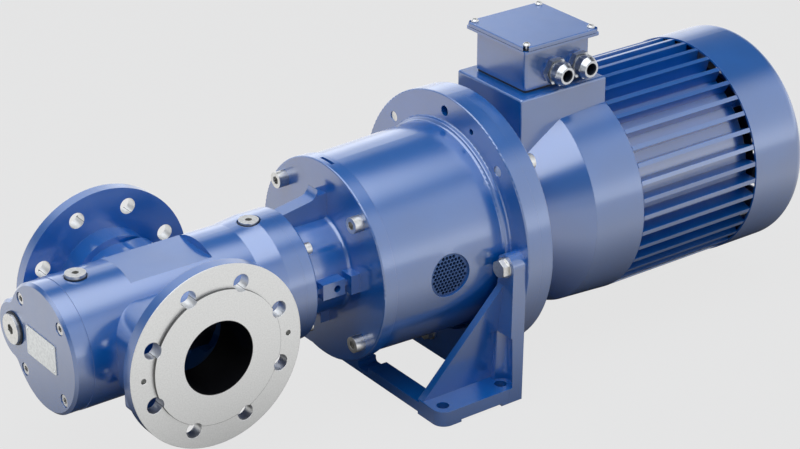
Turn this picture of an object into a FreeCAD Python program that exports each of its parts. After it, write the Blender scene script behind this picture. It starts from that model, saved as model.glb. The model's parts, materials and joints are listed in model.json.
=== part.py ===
import FreeCAD, Part
import math
import os

V = FreeCAD.Vector

# Angles about the drive axis, from the front side upwards
corner_angles = (45, 135, 225, 315)
foot_bolt_angles = (0, 180, 270)

# A three-screw pump on a bell housing and a foot bracket, driven by a flange motor.
# All pieces are drawn about the drive axis, which runs along +X towards the motor and
# passes through x = 0 at the middle of the two process flanges. The last step moves
# them to the foot: origin in the middle of the four foundation holes, on the floor.

# Process flanges, nominal bore 80
port_radius = 40.0
port_depth = 60.0
port_bowl_radius = 43.5
port_bowl_reach = 30.0
flange_radius = 100.0
flange_thickness = 13.5
raised_edge = 6.0
raised_height = 3.0
flange_face_y = 120.0
flange_bolt_edge = 20.0
flange_bolt_radius = 9.0
flange_bolt_count = 8
flange_mark_radius = 3.0
flange_mark_offset = 5.0
flange_mark_depth = 8.0
hub_radius = 56.0
hub_end_y = 78.0
neck_radius = 48.5

# Pump casing
casing_wall = 10.0
casing_flare = 3.5
casing_flare_start_setback = 46.5
casing_flare_end_setback = 18.5
cover_joint_x = -113.2
casing_end_x = 138.5
flat_height = 62.0
flat_front_x = -46.5
flat_rear_x = 50.0
spigot_step = 1.0
shoulder_step = 3.0
gallery_height = 12.0
gallery_half_height = 34.0
gallery_overlap = 26.0
side_block_length = 86.0
side_block_depth = 92.0
side_block_half_height = 50.0
side_block_bend = 36.0
side_block_corner = 22.0
square_corner = 8.0
square_corner_thickness = 13.0
rear_block_length = 44.0
rear_block_depth = 74.0

# Screw set
pitch_diameter = 28.0
screw_lead = 96.0
thread_front_x = -72.0
thread_rear_x = 66.0
screw_gap = 0.15
flank_gap = 0.2
idler_tip_angle = 74.0
flank_steps = 7
stations_per_turn = 24
liner_wall = 6.0
liner_overhang = 4.0
thrust_post_radius = 10.0
end_float = 0.3
fit_gap = 0.03
thread_gap = 0.05

# Proportions shared by the fasteners
socket_share = 0.55
socket_depth_share = 0.6
hex_top_share = 0.86
hex_bevel_share = 0.1
pan_edge_share = 0.4
pan_top_share = 0.7
cross_share = 0.6
cross_width_share = 0.24
plug_socket_share = 0.4
rivet_share = 0.6
pocket_gap = 0.6
over = 1.0
same_point = 1e-6

# Power shaft, mechanical seal and ball bearing
seal_shaft_radius = 20.0
bearing_bore_radius = 17.5
bearing_outer_radius = 36.0
bearing_width = 17.0
bearing_reach = 15.5
bearing_ring = 4.5
bearing_seal_thickness = 1.2
pump_shaft_radius = 14.0
pump_shaft_setback = 1.0
seal_chamber_radius = 32.0
seal_chamber_reach = 7.5
seal_ring_width = 8.0
seal_collar_width = 12.0
seal_ring_wall = 8.5
seal_collar_wall = 6.5
retainer_width = 4.0
retainer_wall = 7.0

# End cover and its fasteners
cover_thickness = 20.4
cover_setback = 0.5
cover_edge = 3.0
cover_spigot = 6.0
spigot_wall = 7.0
seal_ring_section = 1.5
cover_screw_edge = 12.8
cover_screw_radius = 4.0
cover_screw_head_radius = 6.5
cover_screw_head_height = 8.0
cover_screw_grip = 14.0
cover_sink = 9.0
nameplate_width = 60.0
nameplate_height = 33.0
nameplate_thickness = 1.0
rivet_radius = 1.3
rivet_inset = 3.5

# Relief valve in the lug beside the cover
valve_y = 57.5
lug_y = 60.0
lug_z = -4.0
lug_radius = 33.0
lug_blend = 10.0
lug_length = 81.2
valve_bore_radius = 9.5
valve_seat_depth = 33.2
valve_passage_radius = 5.0
piston_length = 16.0
piston_stem = 5.0
piston_groove = 5.0
piston_gap = 0.08
spring_wire_radius = 1.2
spring_mean_radius = 6.5
spring_turns = 4.5
valve_plug_thread = 13.2
valve_plug_collar = 16.3
valve_washer_rim = 1.9
valve_plug_depth = 15.0
valve_plug_hex = 6.0
spill_setback = 5.0
spill_radius = 3.5

# Gauge plugs on top
gauge_front_setback = 22.7
gauge_rear_setback = 23.0
gauge_thread_radius = 8.4
gauge_collar_radius = 11.0
gauge_hex_radius = 4.0
gauge_depth = 10.0
spotface_depth = 1.0
collar_height = 3.5
washer_thickness = 1.5
washer_rim = 0.8

# Mounting flange between pump and bell housing
disc_thickness = 14.0
disc_screw_edge = 9.0
lantern_radius = 54.0
plate_radius = 114.8
lantern_length = 55.9
plate_thickness = 16.0
plate_spigot_edge = 12.0
plate_spigot_length = 5.0
plate_screw_edge = 14.8
plate_screw_radius = 6.0
plate_screw_head_radius = 9.0
plate_screw_head_height = 12.0
plate_screw_grip = 12.0
plate_bore_radius = 38.0
plate_root = 5.0
plate_edge = 1.5
seal_passage_gap = 4.0
rib_width = 18.0
rib_reach = 67.0
rib_lug_reach = 10.5
rib_lug_length = 28.0
rib_pad_reach = 70.0
rib_root = 6.0
rib_pad_width = 22.0
rib_pad_length = 11.4
top_rib_height = 82.0
drain_radius = 4.0
drain_offset = 18.0
drain_depth = 12.0
web_thickness = 6.0
pry_slot_width = 22.0
pry_slot_length = 4.0
pry_slot_depth = 5.0

# Bell housing
bell_front_setback = 2.8
bell_spread = 4.6
bell_wall = 8.0
bell_front_lip = 17.0
bell_flange_radius = 150.7
bell_flange_thickness = 18.2
bell_step_height = 3.4
bell_step_length = 7.0
bell_step_slope = 2.0
bell_step_rise = 0.6
bell_root = 1.5
bell_edge = 1.5
motor_spigot_edge = 17.5
motor_spigot_length = 4.0
motor_spigot_gap = 0.5
flange_screw_edge = 18.2
flange_screw_radius = 6.0
flange_clear_radius = 7.0
vent_distance = 70.6
vent_radius = 25.0
vent_thickness = 3.0
vent_cell = 3.6
vent_web = 1.0
vent_recess = 2.0
jack_hole_radius = 3.4
jack_hole_angle = 21.0
jack_hole_depth = 10.0

# Foot bracket
shaft_height = 163.0
foot_hole_setback = 57.8
foot_hole_spacing_x = 80.0
foot_hole_spacing_y = 257.0
foot_hole_radius = 7.0
foot_length = 111.8
foot_half_width = 144.0
foot_thickness = 15.0
foot_pad_height = 3.0
foot_pad_length = 28.0
foot_pad_width = 42.0
foot_corner = 14.0
foot_bar_width = 25.0
foot_bar_drop = 3.0
foot_channel_half_width = 10.0
foot_channel_depth = 7.0
foot_channel_corner = 4.0
foot_window_corner = 6.0
foot_side_width = 40.0
upright_thickness = 18.0
upright_lobe_reach = 14.5
upright_lobe_radius = 14.4
upright_lobe_width = 27.5
upright_cut_gap = 1.5
gusset_thickness = 9.0
gusset_base_y = 110.0
gusset_top_setback = 1.5
gusset_top = -20.0
relief_radius = 14.0
relief_offset_x = -3.0
relief_offset_y = 3.5
relief_top = -82.0
foot_bolt_head = 9.2
foot_bolt_head_height = 7.5
foot_bolt_grip = 15.0
foot_washer_radius = 11.5
foot_washer_thickness = 2.0

# Shaft coupling
hub_outer_radius = 40.0
pump_hub_distance = 13.6
pump_hub_length = 44.0
jaw_length = 16.0
jaw_count = 3
jaw_angle = 38.0
jaw_inner_radius = 21.0
spider_leg_angle = 19.0
spider_ring_inner = 12.0
coupling_gap = 0.4
motor_hub_length = 46.0
key_height = 7.0
key_width = 8.0
key_length = 32.0
key_end_margin = 3.0
key_top_gap = 0.2

# Motor
motor_flange_thickness = 16.2
motor_shaft_radius = 19.0
motor_shaft_length = 80.0
motor_shaft_setback = 12.2
cone_front_radius = 80.0
cone_length = 99.0
cone_step = 3.8
shell_step = 0.2
shell_length = 165.3
frame_length = 163.7
fin_end_gap = 0.3
fin_height = 16.0
frame_wall = 10.0
fin_count = 40
fin_width = 6.5
frame_inner_radius = 104.0
shell_wall = 10.0
shell_edge = 1.5
shaft_passage_gap = 4.0
shaft_edge = 1.5
fin_taper = 0.8
rear_shield_inset = 2.0
rear_hub_lip = 3.0
rear_hub_root = 5.0
motor_screw_head_radius = 9.0
motor_screw_head_height = 12.0
core_setback = 9.7
core_end_setback = 24.0
core_inner_radius = 67.0
rotor_gap = 0.5
winding_length = 22.0
winding_inner_step = 7.0
winding_outer_gap = 7.0
winding_slope = 0.25
rotor_seat_radius = 27.0
motor_bearing_bore_radius = 20.0
motor_bearing_outer_radius = 45.0
motor_bearing_width = 23.0
motor_bearing_ring = 6.0
ball_share = 0.29
front_bearing_setback = 13.0
rear_bearing_setback = 2.0
rear_shield_thickness = 12.0
shield_hub_wall = 9.0
hood_setback = 8.5
hood_length = 79.5
hood_step = 1.0
hood_wall = 2.5
hood_edge = 14.0
hood_post_edge = 19.0
hood_post_radius = 6.0
hood_screw_radius = 3.0
hood_screw_head_radius = 5.0
hood_screw_head_height = 3.5
hood_screw_grip = 12.0
hood_slot_width = 5.0
hood_slot_pitch = 14.0
hood_slot_rows = 11
hood_grille_step = 8.0
fan_gap = 35.0
fan_setback = 34.0
fan_disc_thickness = 3.0
fan_hub_radius = 22.0
fan_hub_length = 26.0
fan_blade_count = 7
fan_blade_thickness = 3.0
fan_blade_inner = 40.0
fan_shaft_radius = 15.0

# Terminal box and its saddle
saddle_distance = 43.0
saddle_length = 121.0
saddle_half_width = 57.0
saddle_height = 17.8
saddle_wall = 8.0
saddle_edge = 3.0
box_gasket_thickness = 3.0
box_gasket_inset = 1.5
box_distance = 61.0
box_half_length = 45.5
box_half_width = 44.0
box_height = 49.5
box_wall = 4.0
box_corner = 4.0
box_rim_thickness = 3.2
box_hole_radius = 22.0
lid_half_length = 53.0
lid_half_width = 52.5
lid_thickness = 4.5
lid_corner = 3.0
lid_edge = 1.2
lid_gasket_thickness = 0.5
lid_gasket_inset = 2.5
lid_screw_inset = 7.3
lid_slot_half_width = 3.1
lid_screw_radius = 2.5
lid_screw_head_radius = 4.2
lid_screw_head_height = 3.0
lid_screw_grip = 3.0
gland_spacing = 34.0
gland_offset = 9.6
gland_rise = 17.5
gland_boss_radius = 14.5
gland_boss_height = 3.0
gland_hex_radius = 15.5
gland_hex_height = 7.0
gland_body_radius = 12.5
gland_body_length = 7.0
gland_nut_radius = 13.5
gland_nut_length = 8.0
gland_dome_radius = 9.5
gland_dome_length = 6.0
gland_thread_length = 9.0
cable_radius = 6.5
seal_insert_radius = 8.5
gland_thread_radius = 10.5
gland_neck_radius = 11.0
gland_lap = 2.8
gland_lip = 1.5
gland_mouth_gap = 0.5
block_length = 56.0
block_width = 34.0
block_height = 14.0
block_web = 4.0
stud_radius = 2.5
stud_height = 12.0
stud_depth = 3.5
stud_pitch = 17.0
stud_nut_radius = 4.75
stud_nut_height = 4.0

# Sizes that follow from the ones above
flange_bolt_circle = flange_radius - flange_bolt_edge
flange_mark_circle = flange_bolt_circle + flange_mark_offset
raised_radius = flange_bolt_circle - raised_edge
idler_radius = pitch_diameter / 2
power_radius = pitch_diameter * 5 / 6
liner_radius = pitch_diameter + idler_radius + liner_wall
spigot_radius = liner_radius + spigot_step
shoulder_radius = liner_radius - shoulder_step
gallery_radius = liner_radius + gallery_height
casing_radius = gallery_radius + casing_wall
casing_end_radius = casing_radius + casing_flare
cover_radius = casing_radius - cover_setback
cover_screw_circle = casing_radius - cover_screw_edge
disc_screw_circle = casing_end_radius - disc_screw_edge
plate_screw_circle = plate_radius - plate_screw_edge
plate_spigot_radius = plate_screw_circle - plate_spigot_edge
bell_front_radius = plate_radius - bell_front_setback
bell_rear_radius = bell_front_radius + bell_spread
bell_step_radius = bell_rear_radius + bell_step_height
upright_cut_radius = bell_step_radius + upright_cut_gap
flange_screw_circle = bell_flange_radius - flange_screw_edge
motor_spigot_radius = flange_screw_circle - motor_spigot_edge
upright_half_width = flange_screw_circle + upright_lobe_reach
gusset_top_y = flange_screw_circle - gusset_top_setback
fin_root_radius = frame_inner_radius + frame_wall
fin_tip_radius = fin_root_radius + fin_height
shell_end_radius = fin_tip_radius + shell_step
cone_end_radius = shell_end_radius - cone_step
hood_radius = fin_tip_radius + hood_step
hood_post_circle = hood_radius - hood_post_edge
fan_radius = hood_radius - fan_gap
hood_grille_radius = fan_radius - hood_grille_step
winding_inner_radius = core_inner_radius + winding_inner_step
winding_outer_radius = frame_inner_radius - winding_outer_gap
saddle_top = shell_end_radius + saddle_height
box_floor = saddle_top + box_gasket_thickness
box_top = box_floor + box_height
lid_base = box_top + lid_gasket_thickness
gland_height = box_floor + gland_rise
base_z = -shaft_height
foot_top = base_z + foot_pad_height + foot_thickness
foot_bar_top = foot_top - foot_bar_drop

# Stations along the axis, from the cover to the fan
cover_face_x = cover_joint_x - cover_thickness
gauge_front_x = cover_joint_x + gauge_front_setback
valve_seat_x = cover_joint_x + valve_seat_depth
spill_x = valve_seat_x - spill_setback
lug_rear_x = cover_joint_x + lug_length
liner_front_x = thread_front_x - liner_overhang
liner_rear_x = thread_rear_x + liner_overhang
casing_flare_start = casing_end_x - casing_flare_start_setback
casing_flare_end = casing_end_x - casing_flare_end_setback
gauge_rear_x = casing_end_x - gauge_rear_setback
seal_chamber_front_x = casing_end_x - cover_spigot
disc_end_x = casing_end_x + disc_thickness
seal_chamber_end_x = disc_end_x + seal_chamber_reach
bearing_front_x = disc_end_x + bearing_reach
bearing_end_x = bearing_front_x + bearing_width
rib_lug_front_x = disc_end_x + rib_lug_reach
rib_lug_end_x = rib_lug_front_x + rib_lug_length
drain_x = rib_lug_front_x + drain_offset
plate_front_x = disc_end_x + lantern_length
rib_pad_front_x = plate_front_x - rib_pad_length
plate_end_x = plate_front_x + plate_thickness
vent_x = plate_end_x + vent_distance
pump_hub_front_x = plate_end_x + pump_hub_distance
pump_hub_end_x = pump_hub_front_x + pump_hub_length
pump_shaft_end_x = pump_hub_end_x - pump_shaft_setback
pump_key_x = pump_shaft_end_x - key_length - key_end_margin
motor_hub_front_x = pump_hub_end_x + jaw_length + 2 * coupling_gap
motor_shaft_front_x = motor_hub_front_x + motor_shaft_setback
motor_key_x = motor_shaft_front_x + key_end_margin
motor_face_x = motor_shaft_front_x + motor_shaft_length
bell_flange_front_x = motor_face_x - bell_flange_thickness
upright_front_x = bell_flange_front_x - upright_thickness
foot_front_x = bell_flange_front_x - foot_length
foot_station_x = bell_flange_front_x - foot_hole_setback
motor_flange_end_x = motor_face_x + motor_flange_thickness
front_bearing_x = motor_face_x + front_bearing_setback
cone_end_x = motor_face_x + cone_length
saddle_front_x = motor_face_x + saddle_distance
saddle_rear_x = saddle_front_x + saddle_length
box_centre_x = saddle_front_x + box_distance
gland_centre_x = box_centre_x + gland_offset
fin_front_x = motor_face_x + shell_length
frame_end_x = fin_front_x + frame_length
core_front_x = fin_front_x + core_setback
core_length = frame_end_x - core_end_setback - core_front_x
rear_bearing_x = frame_end_x + rear_bearing_setback
hood_front_x = frame_end_x + hood_setback
fin_rear_x = hood_front_x - fin_end_gap
hood_end_x = hood_front_x + hood_length
hood_back_inner_x = hood_end_x - hood_wall
fan_front_x = frame_end_x + fan_setback


def rod(x0, x1, radius, y=0.0, z=0.0):
    return Part.makeCylinder(radius, x1 - x0, V(x0, y, z), V(1, 0, 0))


def post(y0, y1, radius, x=0.0, z=0.0):
    return Part.makeCylinder(radius, y1 - y0, V(x, y0, z), V(0, 1, 0))


def pillar(z0, z1, radius, x=0.0, y=0.0):
    return Part.makeCylinder(radius, z1 - z0, V(x, y, z0), V(0, 0, 1))


def tube(x0, x1, outer, inner):
    return rod(x0, x1, outer).cut(rod(x0, x1, inner))


def block(x0, x1, y0, y1, z0, z1):
    return Part.makeBox(x1 - x0, y1 - y0, z1 - z0, V(x0, y0, z0))


def rounded_wire(corners, place):
    """Closed outline through corners (u, v) or (u, v, radius), each radius a tangent arc."""
    count = len(corners)
    joints = []
    for i in range(count):
        u, v = corners[i][:2]
        radius = corners[i][2] if len(corners[i]) > 2 else 0.0
        if radius <= 0:
            joints.append((place(u, v), None, place(u, v)))
            continue
        before, here, after = V(*corners[i - 1][:2], 0), V(u, v, 0), V(*corners[(i + 1) % count][:2], 0)
        back = (before - here).normalize()
        ahead = (after - here).normalize()
        half = back.getAngle(ahead) / 2
        setback = radius / math.tan(half)
        centre = here + (back + ahead).normalize() * (radius / math.sin(half))
        middle = centre + (here - centre).normalize() * radius
        first, last = here + back * setback, here + ahead * setback
        joints.append((place(first.x, first.y), place(middle.x, middle.y), place(last.x, last.y)))
    edges = []
    for i in range(count):
        first, middle, last = joints[i]
        if middle is not None:
            edges.append(Part.Arc(first, middle, last).toShape())
        following = joints[(i + 1) % count][0]
        if not last.isEqual(following, same_point):
            edges.append(Part.LineSegment(last, following).toShape())
    return Part.Wire(edges)


def turned(corners):
    """Solid of revolution about the drive axis from an outline of (x, radius, rounding)."""
    face = Part.Face(rounded_wire(corners, lambda x, r: V(x, 0, r)))
    return face.revolve(V(0, 0, 0), V(1, 0, 0), 360)


def plate_across(corners, x0, thickness):
    """Plate across the axis: an outline of (y, z, rounding) given a thickness along X."""
    face = Part.Face(rounded_wire(corners, lambda y, z: V(x0, y, z)))
    return face.extrude(V(thickness, 0, 0))


def plate_along(corners, y0, thickness):
    """Plate beside the axis: an outline of (x, z, rounding) given a thickness along Y."""
    face = Part.Face(rounded_wire(corners, lambda x, z: V(x, y0, z)))
    return face.extrude(V(0, thickness, 0))


def slab(corners, z0, thickness):
    """Level plate: an outline of (x, y, rounding) given a thickness along Z."""
    face = Part.Face(rounded_wire(corners, lambda x, y: V(x, y, z0)))
    return face.extrude(V(0, 0, thickness))


def oblong(x0, x1, y0, y1, rounding):
    return [(x0, y0, rounding), (x1, y0, rounding), (x1, y1, rounding), (x0, y1, rounding)]


def turn(shape, angle):
    copy = shape.copy()
    copy.rotate(V(0, 0, 0), V(1, 0, 0), angle)
    return copy


def around(shape, count, start=0.0):
    return [turn(shape, start + 360.0 * i / count) for i in range(count)]


def aimed(shape, point, direction):
    """Copy of a piece drawn along +Z, set at a point with +Z turned to a direction."""
    copy = shape.copy()
    copy.Placement = FreeCAD.Placement(point, FreeCAD.Rotation(V(0, 0, 1), direction))
    return copy


def on_circle(x, radius, angle):
    a = math.radians(angle)
    return V(x, -radius * math.cos(a), radius * math.sin(a))


def drilled(shape, x0, x1, radius, circle, angles=corner_angles):
    """Cuts holes along X, spaced at angles on a circle about the drive axis."""
    for angle in angles:
        spot = on_circle(0, circle, angle)
        shape = shape.cut(rod(x0, x1, radius, spot.y, spot.z))
    return shape


def set_round(piece, x, circle, way, angles=corner_angles):
    """Copies of a piece drawn along +Z, set on a circle to point along X one way or the other."""
    return group([aimed(piece, on_circle(x, circle, angle), V(way, 0, 0)) for angle in angles])


def fused(shapes):
    return shapes[0].multiFuse(shapes[1:]).removeSplitter()


def group(shapes):
    return Part.makeCompound(shapes)


def hexagon(across_corners_radius, height, z0=0.0):
    """Upright hexagonal prism."""
    points = []
    for i in range(7):
        a = math.radians(60 * i)
        points.append(V(across_corners_radius * math.cos(a), across_corners_radius * math.sin(a), z0))
    return Part.Face(Part.makePolygon(points)).extrude(V(0, 0, height))


def socket_screw(shank, grip, head, height):
    """Cap screw along +Z: shank below zero, round head with a hexagon socket above."""
    body = pillar(-grip, 0, shank).fuse(pillar(0, height, head))
    depth = height * socket_depth_share
    return body.cut(hexagon(head * socket_share, depth, height - depth))


def hex_bolt(shank, grip, head, height):
    """Hexagon bolt along +Z: shank below zero, chamfered six-sided head above."""
    bevel = height * hex_bevel_share
    wide = head + (1 - hex_top_share) * head * (height - bevel) / bevel
    crown = Part.makeCone(wide, head * hex_top_share, height)
    return pillar(-grip, 0, shank).fuse(hexagon(head, height).common(crown))


def pan_screw(shank, grip, head, height):
    """Pan head screw along +Z with a cross recess."""
    edge = height * pan_edge_share
    dome = pillar(0, edge, head).fuse(Part.makeCone(head, head * pan_top_share, height - edge, V(0, 0, edge)))
    arm = head * cross_share
    half = head * cross_width_share / 2
    cross = block(-arm, arm, -half, half, height / 2, height + over)
    cross = cross.fuse(block(-half, half, -arm, arm, height / 2, height + over))
    return pillar(-grip, 0, shank).fuse(dome).cut(cross)


def screw_plug(thread, depth, collar, socket):
    """Plug along +Z: threaded shank below zero, collar above with a hexagon socket."""
    body = pillar(-depth, 0, thread).fuse(pillar(0, collar_height, collar))
    sunk = depth * plug_socket_share
    return body.cut(hexagon(socket, collar_height + sunk, -sunk))


def flank_point(pitch, reach, t):
    """Point of an epicycloid: a point at a reach from one rotor's centre, seen from its twin."""
    return (pitch * math.cos(t) - reach * math.cos(2 * t), pitch * math.sin(t) - reach * math.sin(2 * t))


def swing_to(radius, reach):
    """Swing at which the mating edge, at its reach, has come to a radius of this rotor."""
    cosine = (pitch_diameter ** 2 + reach ** 2 - radius ** 2) / (2 * pitch_diameter * reach)
    return math.acos(cosine)


def rotor_section(tip, reach, tip_angle):
    """Two-start section: tip arcs, root arcs and the four flanks the mating edge sweeps."""
    backlash = flank_gap / 2 / idler_radius
    x, y = flank_point(pitch_diameter, reach, swing_to(tip, reach))
    lean = abs(math.atan2(y, x))
    last = swing_to(tip - screw_gap, reach)
    flank = []
    for i in range(flank_steps + 1):
        x, y = flank_point(pitch_diameter, reach, last * i / flank_steps)
        flank.append((math.hypot(x, y), abs(math.atan2(y, x))))
    edges = []
    for start in (0.0, math.pi):
        half = math.radians(tip_angle) / 2
        rise = [(r, start - half + (a - lean) + backlash) for r, a in flank]
        fall = [(r, start + half - (a - lean) - backlash) for r, a in reversed(flank)]
        for side in (rise, fall):
            curve = Part.BSplineCurve()
            curve.interpolate([V(0, r * math.cos(a), r * math.sin(a)) for r, a in side])
            edges.append((side, curve.toShape()))
    wires = []
    for i in range(4):
        side, edge = edges[i]
        following = edges[(i + 1) % 4][0]
        wires.append(edge)
        r0, a0 = side[-1]
        r1, a1 = following[0]
        while a1 < a0:
            a1 += 2 * math.pi
        middle = (a0 + a1) / 2
        ends = [V(0, r0 * math.cos(a), r0 * math.sin(a)) for a in (a0, middle)]
        wires.append(Part.Arc(ends[0], ends[1], V(0, r1 * math.cos(a1), r1 * math.sin(a1))).toShape())
    return Part.Wire(wires)


def screw_thread(section, hand, phase):
    """Section carried along the axis while it turns once per lead, as a smooth loft."""
    length = thread_rear_x - thread_front_x
    stations = math.ceil(length / screw_lead * stations_per_turn)
    wires = []
    for i in range(stations + 1):
        along = length * i / stations
        wire = section.copy()
        wire.rotate(V(0, 0, 0), V(1, 0, 0), phase + hand * 360.0 * along / screw_lead)
        wire.translate(V(thread_front_x + along, 0, 0))
        wires.append(wire)
    return Part.makeLoft(wires, True, False)


def power_tip_angle():
    """Tip land of the power screw that leaves the idler's tip land between its threads."""
    x, y = flank_point(pitch_diameter, idler_radius, swing_to(power_radius, idler_radius))
    return 180.0 - idler_tip_angle - 2 * math.degrees(math.atan2(y, x))


def make_power_screw():
    section = rotor_section(power_radius, idler_radius, power_tip_angle())
    thread = screw_thread(section, 1, 90.0)
    shaft = turned([
        (thread_rear_x, 0),
        (thread_rear_x, idler_radius - 1.0),
        (thread_rear_x + liner_overhang, idler_radius - 1.0),
        (thread_rear_x + liner_overhang, seal_shaft_radius),
        (bearing_front_x, seal_shaft_radius),
        (bearing_front_x, bearing_bore_radius),
        (bearing_end_x + retainer_width, bearing_bore_radius),
        (bearing_end_x + retainer_width, pump_shaft_radius),
        (pump_shaft_end_x, pump_shaft_radius),
        (pump_shaft_end_x, 0),
    ])
    keyway = block(pump_key_x, pump_key_x + key_length, -key_width / 2, key_width / 2,
                   pump_shaft_radius - key_height / 2, pump_shaft_radius + key_height)
    return thread.fuse(shaft).cut(keyway)


def make_idler_screw(side):
    section = rotor_section(idler_radius, power_radius, idler_tip_angle)
    screw = screw_thread(section, -1, 0.0)
    screw = screw.fuse(rod(thread_front_x - liner_overhang, thread_front_x, idler_radius - screw_gap))
    screw.translate(V(0, 0, side * pitch_diameter))
    return screw


def make_screw_liner():
    liner = rod(liner_front_x, liner_rear_x, liner_radius)
    liner = liner.cut(rod(liner_front_x, liner_rear_x, power_radius))
    for side in (1, -1):
        liner = liner.cut(rod(liner_front_x, liner_rear_x, idler_radius, 0, side * pitch_diameter))
    return liner


def process_flange(side):
    """One pipe flange with its hub and neck; side is -1 for the front, +1 for the rear."""
    face = flange_face_y - raised_height
    back = face - flange_thickness
    shape = post(back, face, flange_radius)
    shape = shape.fuse(post(face, flange_face_y, raised_radius))
    shape = shape.fuse(post(hub_end_y, back, hub_radius))
    shape = shape.fuse(post(0, hub_end_y, neck_radius))
    for i in range(flange_bolt_count):
        a = math.radians(360.0 * (i + 0.5) / flange_bolt_count)
        shape = shape.cut(post(back - 1, flange_face_y + 1, flange_bolt_radius,
                               flange_bolt_circle * math.cos(a), flange_bolt_circle * math.sin(a)))
    for x in (-flange_mark_circle, flange_mark_circle):
        shape = shape.cut(post(face - flange_mark_depth, face + 1, flange_mark_radius, x))
    if side < 0:
        shape.rotate(V(0, 0, 0), V(0, 0, 1), 180)
    return shape


def casing_blocks():
    """Cast chambers beside the barrel, a long one on the front side and a short one behind.

    The front one is well rounded towards the cover, and its lower corner is square at the flange.
    """
    front = plate_along([
        (-side_block_length, -side_block_half_height, side_block_bend),
        (hub_radius / 2, -side_block_half_height, side_block_corner),
        (hub_radius / 2, side_block_half_height, side_block_corner),
        (-side_block_length, side_block_half_height, side_block_bend),
    ], -side_block_depth, side_block_depth)
    corner = plate_along([
        (-side_block_length, -side_block_half_height, square_corner),
        (0, -side_block_half_height),
        (0, 0),
        (-side_block_length, 0),
    ], -side_block_depth, square_corner_thickness)
    rear = plate_along([
        (0, -side_block_half_height, side_block_corner / 2),
        (rear_block_length, -side_block_half_height, side_block_corner),
        (rear_block_length, side_block_half_height, side_block_corner),
        (0, side_block_half_height, side_block_corner / 2),
    ], 0, rear_block_depth)
    return [front, corner, rear]


def lug_outline(edge):
    """Outline of the cover: the barrel's circle and the valve lug's, joined by hollow blends."""
    barrel = cover_radius - edge
    ear = lug_radius - edge
    blend = lug_blend + edge
    apart = math.hypot(lug_y, lug_z)
    reach = barrel + blend
    lean = math.acos((reach ** 2 + apart ** 2 - (ear + blend) ** 2) / (2 * reach * apart))
    centre = V(0, apart, 0)
    blends = []
    for side in (1, -1):
        hollow = V(0, reach * math.cos(lean), side * reach * math.sin(lean))
        near = hollow * (barrel / reach)
        far = centre + (hollow - centre) * (ear / (ear + blend))
        middle = hollow + ((near + far) / 2 - hollow).normalize() * blend
        blends.append((near, middle, far))
    upper, lower = blends
    wire = Part.Wire([
        Part.Arc(*upper).toShape(),
        Part.Arc(upper[2], V(0, apart + ear, 0), lower[2]).toShape(),
        Part.Arc(*reversed(lower)).toShape(),
        Part.Arc(lower[0], V(0, -barrel, 0), upper[0]).toShape(),
    ])
    wire.rotate(V(0, 0, 0), V(1, 0, 0), math.degrees(math.atan2(lug_z, lug_y)))
    return wire


def lug_body(x0, x1, edge=0.0):
    wire = lug_outline(edge)
    wire.translate(V(x0, 0, 0))
    return Part.Face(wire).extrude(V(x1 - x0, 0, 0))


def plug_seats():
    """Spot faces and holes of the two gauge ports on top of the casing."""
    seats = []
    seat = casing_radius - spotface_depth
    for x in (gauge_front_x, gauge_rear_x):
        seats.append(pillar(seat, seat + casing_radius, gauge_collar_radius + washer_rim + 1, x))
        seats.append(pillar(0, seat + 1, gauge_thread_radius + thread_gap, x))
    return seats


def make_pump_casing():
    barrel = turned([
        (cover_joint_x, 0),
        (cover_joint_x, casing_radius),
        (casing_flare_start, casing_radius),
        (casing_flare_end, casing_end_radius),
        (casing_end_x, casing_end_radius),
        (casing_end_x, 0),
    ])
    shape = fused([barrel, process_flange(-1), process_flange(1), lug_body(cover_joint_x, lug_rear_x)]
                  + casing_blocks())
    tall = casing_radius * 2
    shape = shape.cut(block(flat_front_x, flat_rear_x, -casing_radius / 2, casing_radius / 2,
                            flat_height, flat_height + tall))
    shape = shape.cut(rod(cover_joint_x, cover_joint_x + cover_spigot + end_float, spigot_radius + fit_gap))
    shape = shape.cut(rod(cover_joint_x, liner_front_x, shoulder_radius))
    shape = shape.cut(rod(liner_front_x, casing_end_x, liner_radius + fit_gap))
    shape = shape.cut(rod(liner_rear_x, casing_end_x, spigot_radius + fit_gap))
    for side, x0, x1 in ((-1, liner_front_x - gallery_overlap, port_radius),
                         (1, -port_radius, liner_rear_x + gallery_overlap)):
        gallery = rod(x0, x1, gallery_radius)
        low, high = sorted((0, side * gallery_radius))
        gallery = gallery.common(block(x0, x1, low, high, -gallery_half_height, gallery_half_height))
        shape = shape.cut(gallery)
        mouth = flange_face_y - port_depth
        low, high = sorted((side * mouth, side * (flange_face_y + 1)))
        shape = shape.cut(post(low, high, port_radius))
        low, high = sorted((side * port_bowl_reach, side * mouth))
        shape = shape.cut(post(low, high, port_bowl_radius))
    shape = shape.cut(rod(cover_joint_x, valve_seat_x, valve_bore_radius, valve_y))
    shape = shape.cut(rod(valve_seat_x, valve_passage_radius - port_radius, valve_passage_radius,
                          valve_y - valve_passage_radius))
    shape = shape.cut(post(0, valve_y, spill_radius, spill_x))
    for seat in plug_seats():
        shape = shape.cut(seat)
    tapped = cover_screw_radius + thread_gap
    shape = drilled(shape, cover_joint_x, cover_joint_x + cover_screw_grip + over, tapped, cover_screw_circle)
    return drilled(shape, casing_end_x - cover_screw_grip, casing_end_x, tapped, disc_screw_circle)


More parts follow.
